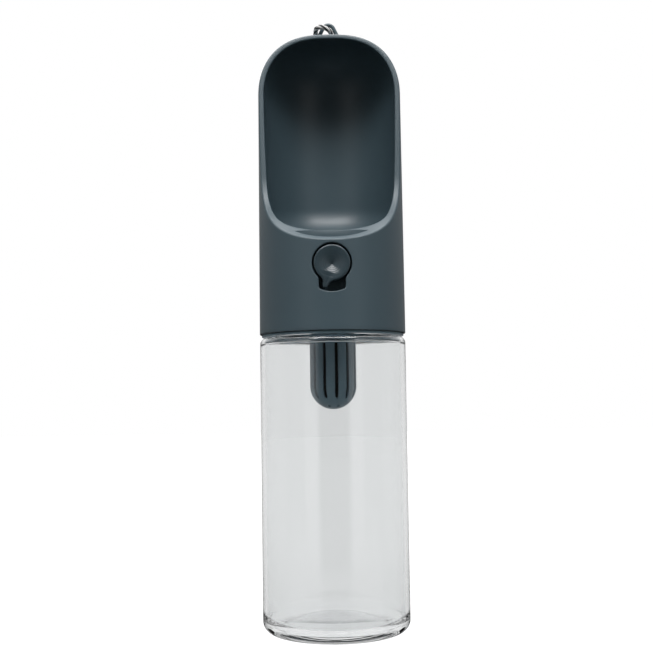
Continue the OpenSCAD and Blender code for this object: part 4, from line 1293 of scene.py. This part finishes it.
turned_deg = bearing_deg(sky, way)
up_deg = maths(sky, "MULTIPLY", maths(sky, "ARCSINE", way.outputs["Z"]), 180 / math.pi)


def step_up(tree, value, low, high):
    """Number from 0 to 1 that grows smoothly as the value goes from low to high."""
    made = node(tree, "MapRange", {"interpolation_type": "SMOOTHSTEP"}, Value=value)
    made.inputs["From Min"].default_value = low
    made.inputs["From Max"].default_value = high
    return made.outputs[0]


def panel(turn, up, soft, level):
    """Soft-edged rectangle of the surround, from and to two bearings from the front and two
    heights in degrees, at a level."""
    inside = level
    for value, (low, high) in ((turned_deg, turn), (up_deg, up)):
        inside = maths(sky, "MULTIPLY", step_up(sky, value, low - soft, low + soft), inside)
        fall = maths(sky, "SUBTRACT", 1.0, step_up(sky, value, high - soft, high + soft))
        inside = maths(sky, "MULTIPLY", fall, inside)
    return inside


PANELS = (
    ((-90, 46), (47, 60), 3, KEY_LEVEL),           # lamp in front
    ((18, 46), (36, 47), 3, 0.35 * KEY_LEVEL),     # its lower sides
    ((-90, 20), (37, 47), 3, 1.0),                 # its lower middle
    ((90, 270), (60, 82), 4, BACK_LEVEL),          # lamp behind
    ((110, 270), (15, 36), 6, 0.9),                # wall behind
    ((80, 270), (-8, 15), 4, 0.25),                # its foot
    ((46, 85), (15, 50), 4, 0.6),                  # walls to the sides
    ((25, 46), (-8, 20), 4, 0.55),                 # sides of the dim front
    ((22, 75), (-35, -8), 4, 0.3))                 # floor in front, to the sides
walls = FRONT_LEVEL
for turn, up, soft, level in PANELS:
    walls = maths(sky, "ADD", walls, panel(turn, up, soft, level))


def through_bottle(tree, light_path, dark_share):
    """1 for a ray that comes out of the bottle, less the share that is dark where the bottle's
    walls have mirrored it back to the surround of the camera."""
    mirrored = maths(tree, "GREATER_THAN", light_path.outputs["Glossy Depth"], 0.5)
    bright = maths(tree, "SUBTRACT", 1.0, maths(tree, "MULTIPLY", dark_share, mirrored))
    return maths(tree, "MULTIPLY", light_path.outputs["Is Transmission Ray"], bright)


rays = node(sky, "LightPath")
first_look = maths(sky, "LESS_THAN", rays.outputs["Diffuse Depth"], 0.5)
sky_dark = panel((-90, DARK_SIDE_DEG), (-DARK_UP_DEG, DARK_UP_DEG), DARK_SOFT_DEG, 1.0)
through = through_bottle(sky, rays, sky_dark)
seen = maths(sky, "MAXIMUM", rays.outputs["Is Camera Ray"], maths(sky, "MULTIPLY", through, first_look))
hidden = maths(sky, "SUBTRACT", 1.0, seen)
link(sky, maths(sky, "ADD", seen, maths(sky, "MULTIPLY", walls, hidden)), background.inputs["Strength"])
background.inputs["Color"].default_value = (1, 1, 1, 1)
world.cycles.sampling_method = "MANUAL"
world.cycles.sample_map_resolution = 1024

floor_mesh = bpy.data.meshes.new("floor")
floor_corners = FLOOR_HALF_M * np.array([[-1, -1, 0], [1, -1, 0], [1, 1, 0], [-1, 1, 0]])
floor_mesh.from_pydata(floor_corners, [], [(0, 1, 2, 3)])
floor = bpy.data.objects.new("floor", floor_mesh)
bpy.context.scene.collection.objects.link(floor)
floor.visible_diffuse = False
floor.visible_glossy = False
floor_material, floor_tree, floor_shader = new_material(
    "floor", Base_Color=(0.15, 0.15, 0.15, 1), Roughness=1.0, Specular_IOR_Level=0,
    Emission_Color=(1, 1, 1, 1))
floor_rays = node(floor_tree, "LightPath")
floor_spot = node(floor_tree, "SeparateXYZ", Vector=place(floor_tree))
floor_ahead = step_up(floor_tree, maths(floor_tree, "MULTIPLY", floor_spot.outputs["Y"], -1.0), 0.1, 0.2)
floor_aside = step_up(floor_tree, bearing_deg(floor_tree, floor_spot),
                      DARK_SIDE_DEG - DARK_SOFT_DEG, DARK_SIDE_DEG + DARK_SOFT_DEG)
floor_dark = maths(floor_tree, "MULTIPLY", floor_ahead, maths(floor_tree, "SUBTRACT", 1.0, floor_aside))
floor_through = maths(
    floor_tree, "MULTIPLY", through_bottle(floor_tree, floor_rays, floor_dark), FLOOR_THROUGH_LEVEL)
floor_direct = maths(floor_tree, "MULTIPLY", floor_rays.outputs["Is Camera Ray"], FLOOR_LEVEL)
floor_seen = maths(floor_tree, "MAXIMUM", floor_direct, floor_through)
link(floor_tree, floor_seen, floor_shader.inputs["Emission Strength"])
floor_mesh.materials.append(floor_material)

bpy.context.scene.view_settings.view_transform = "Standard"
bpy.context.scene.cycles.max_bounces = 20
bpy.context.scene.cycles.glossy_bounces = 12
bpy.context.scene.cycles.transmission_bounces = 16
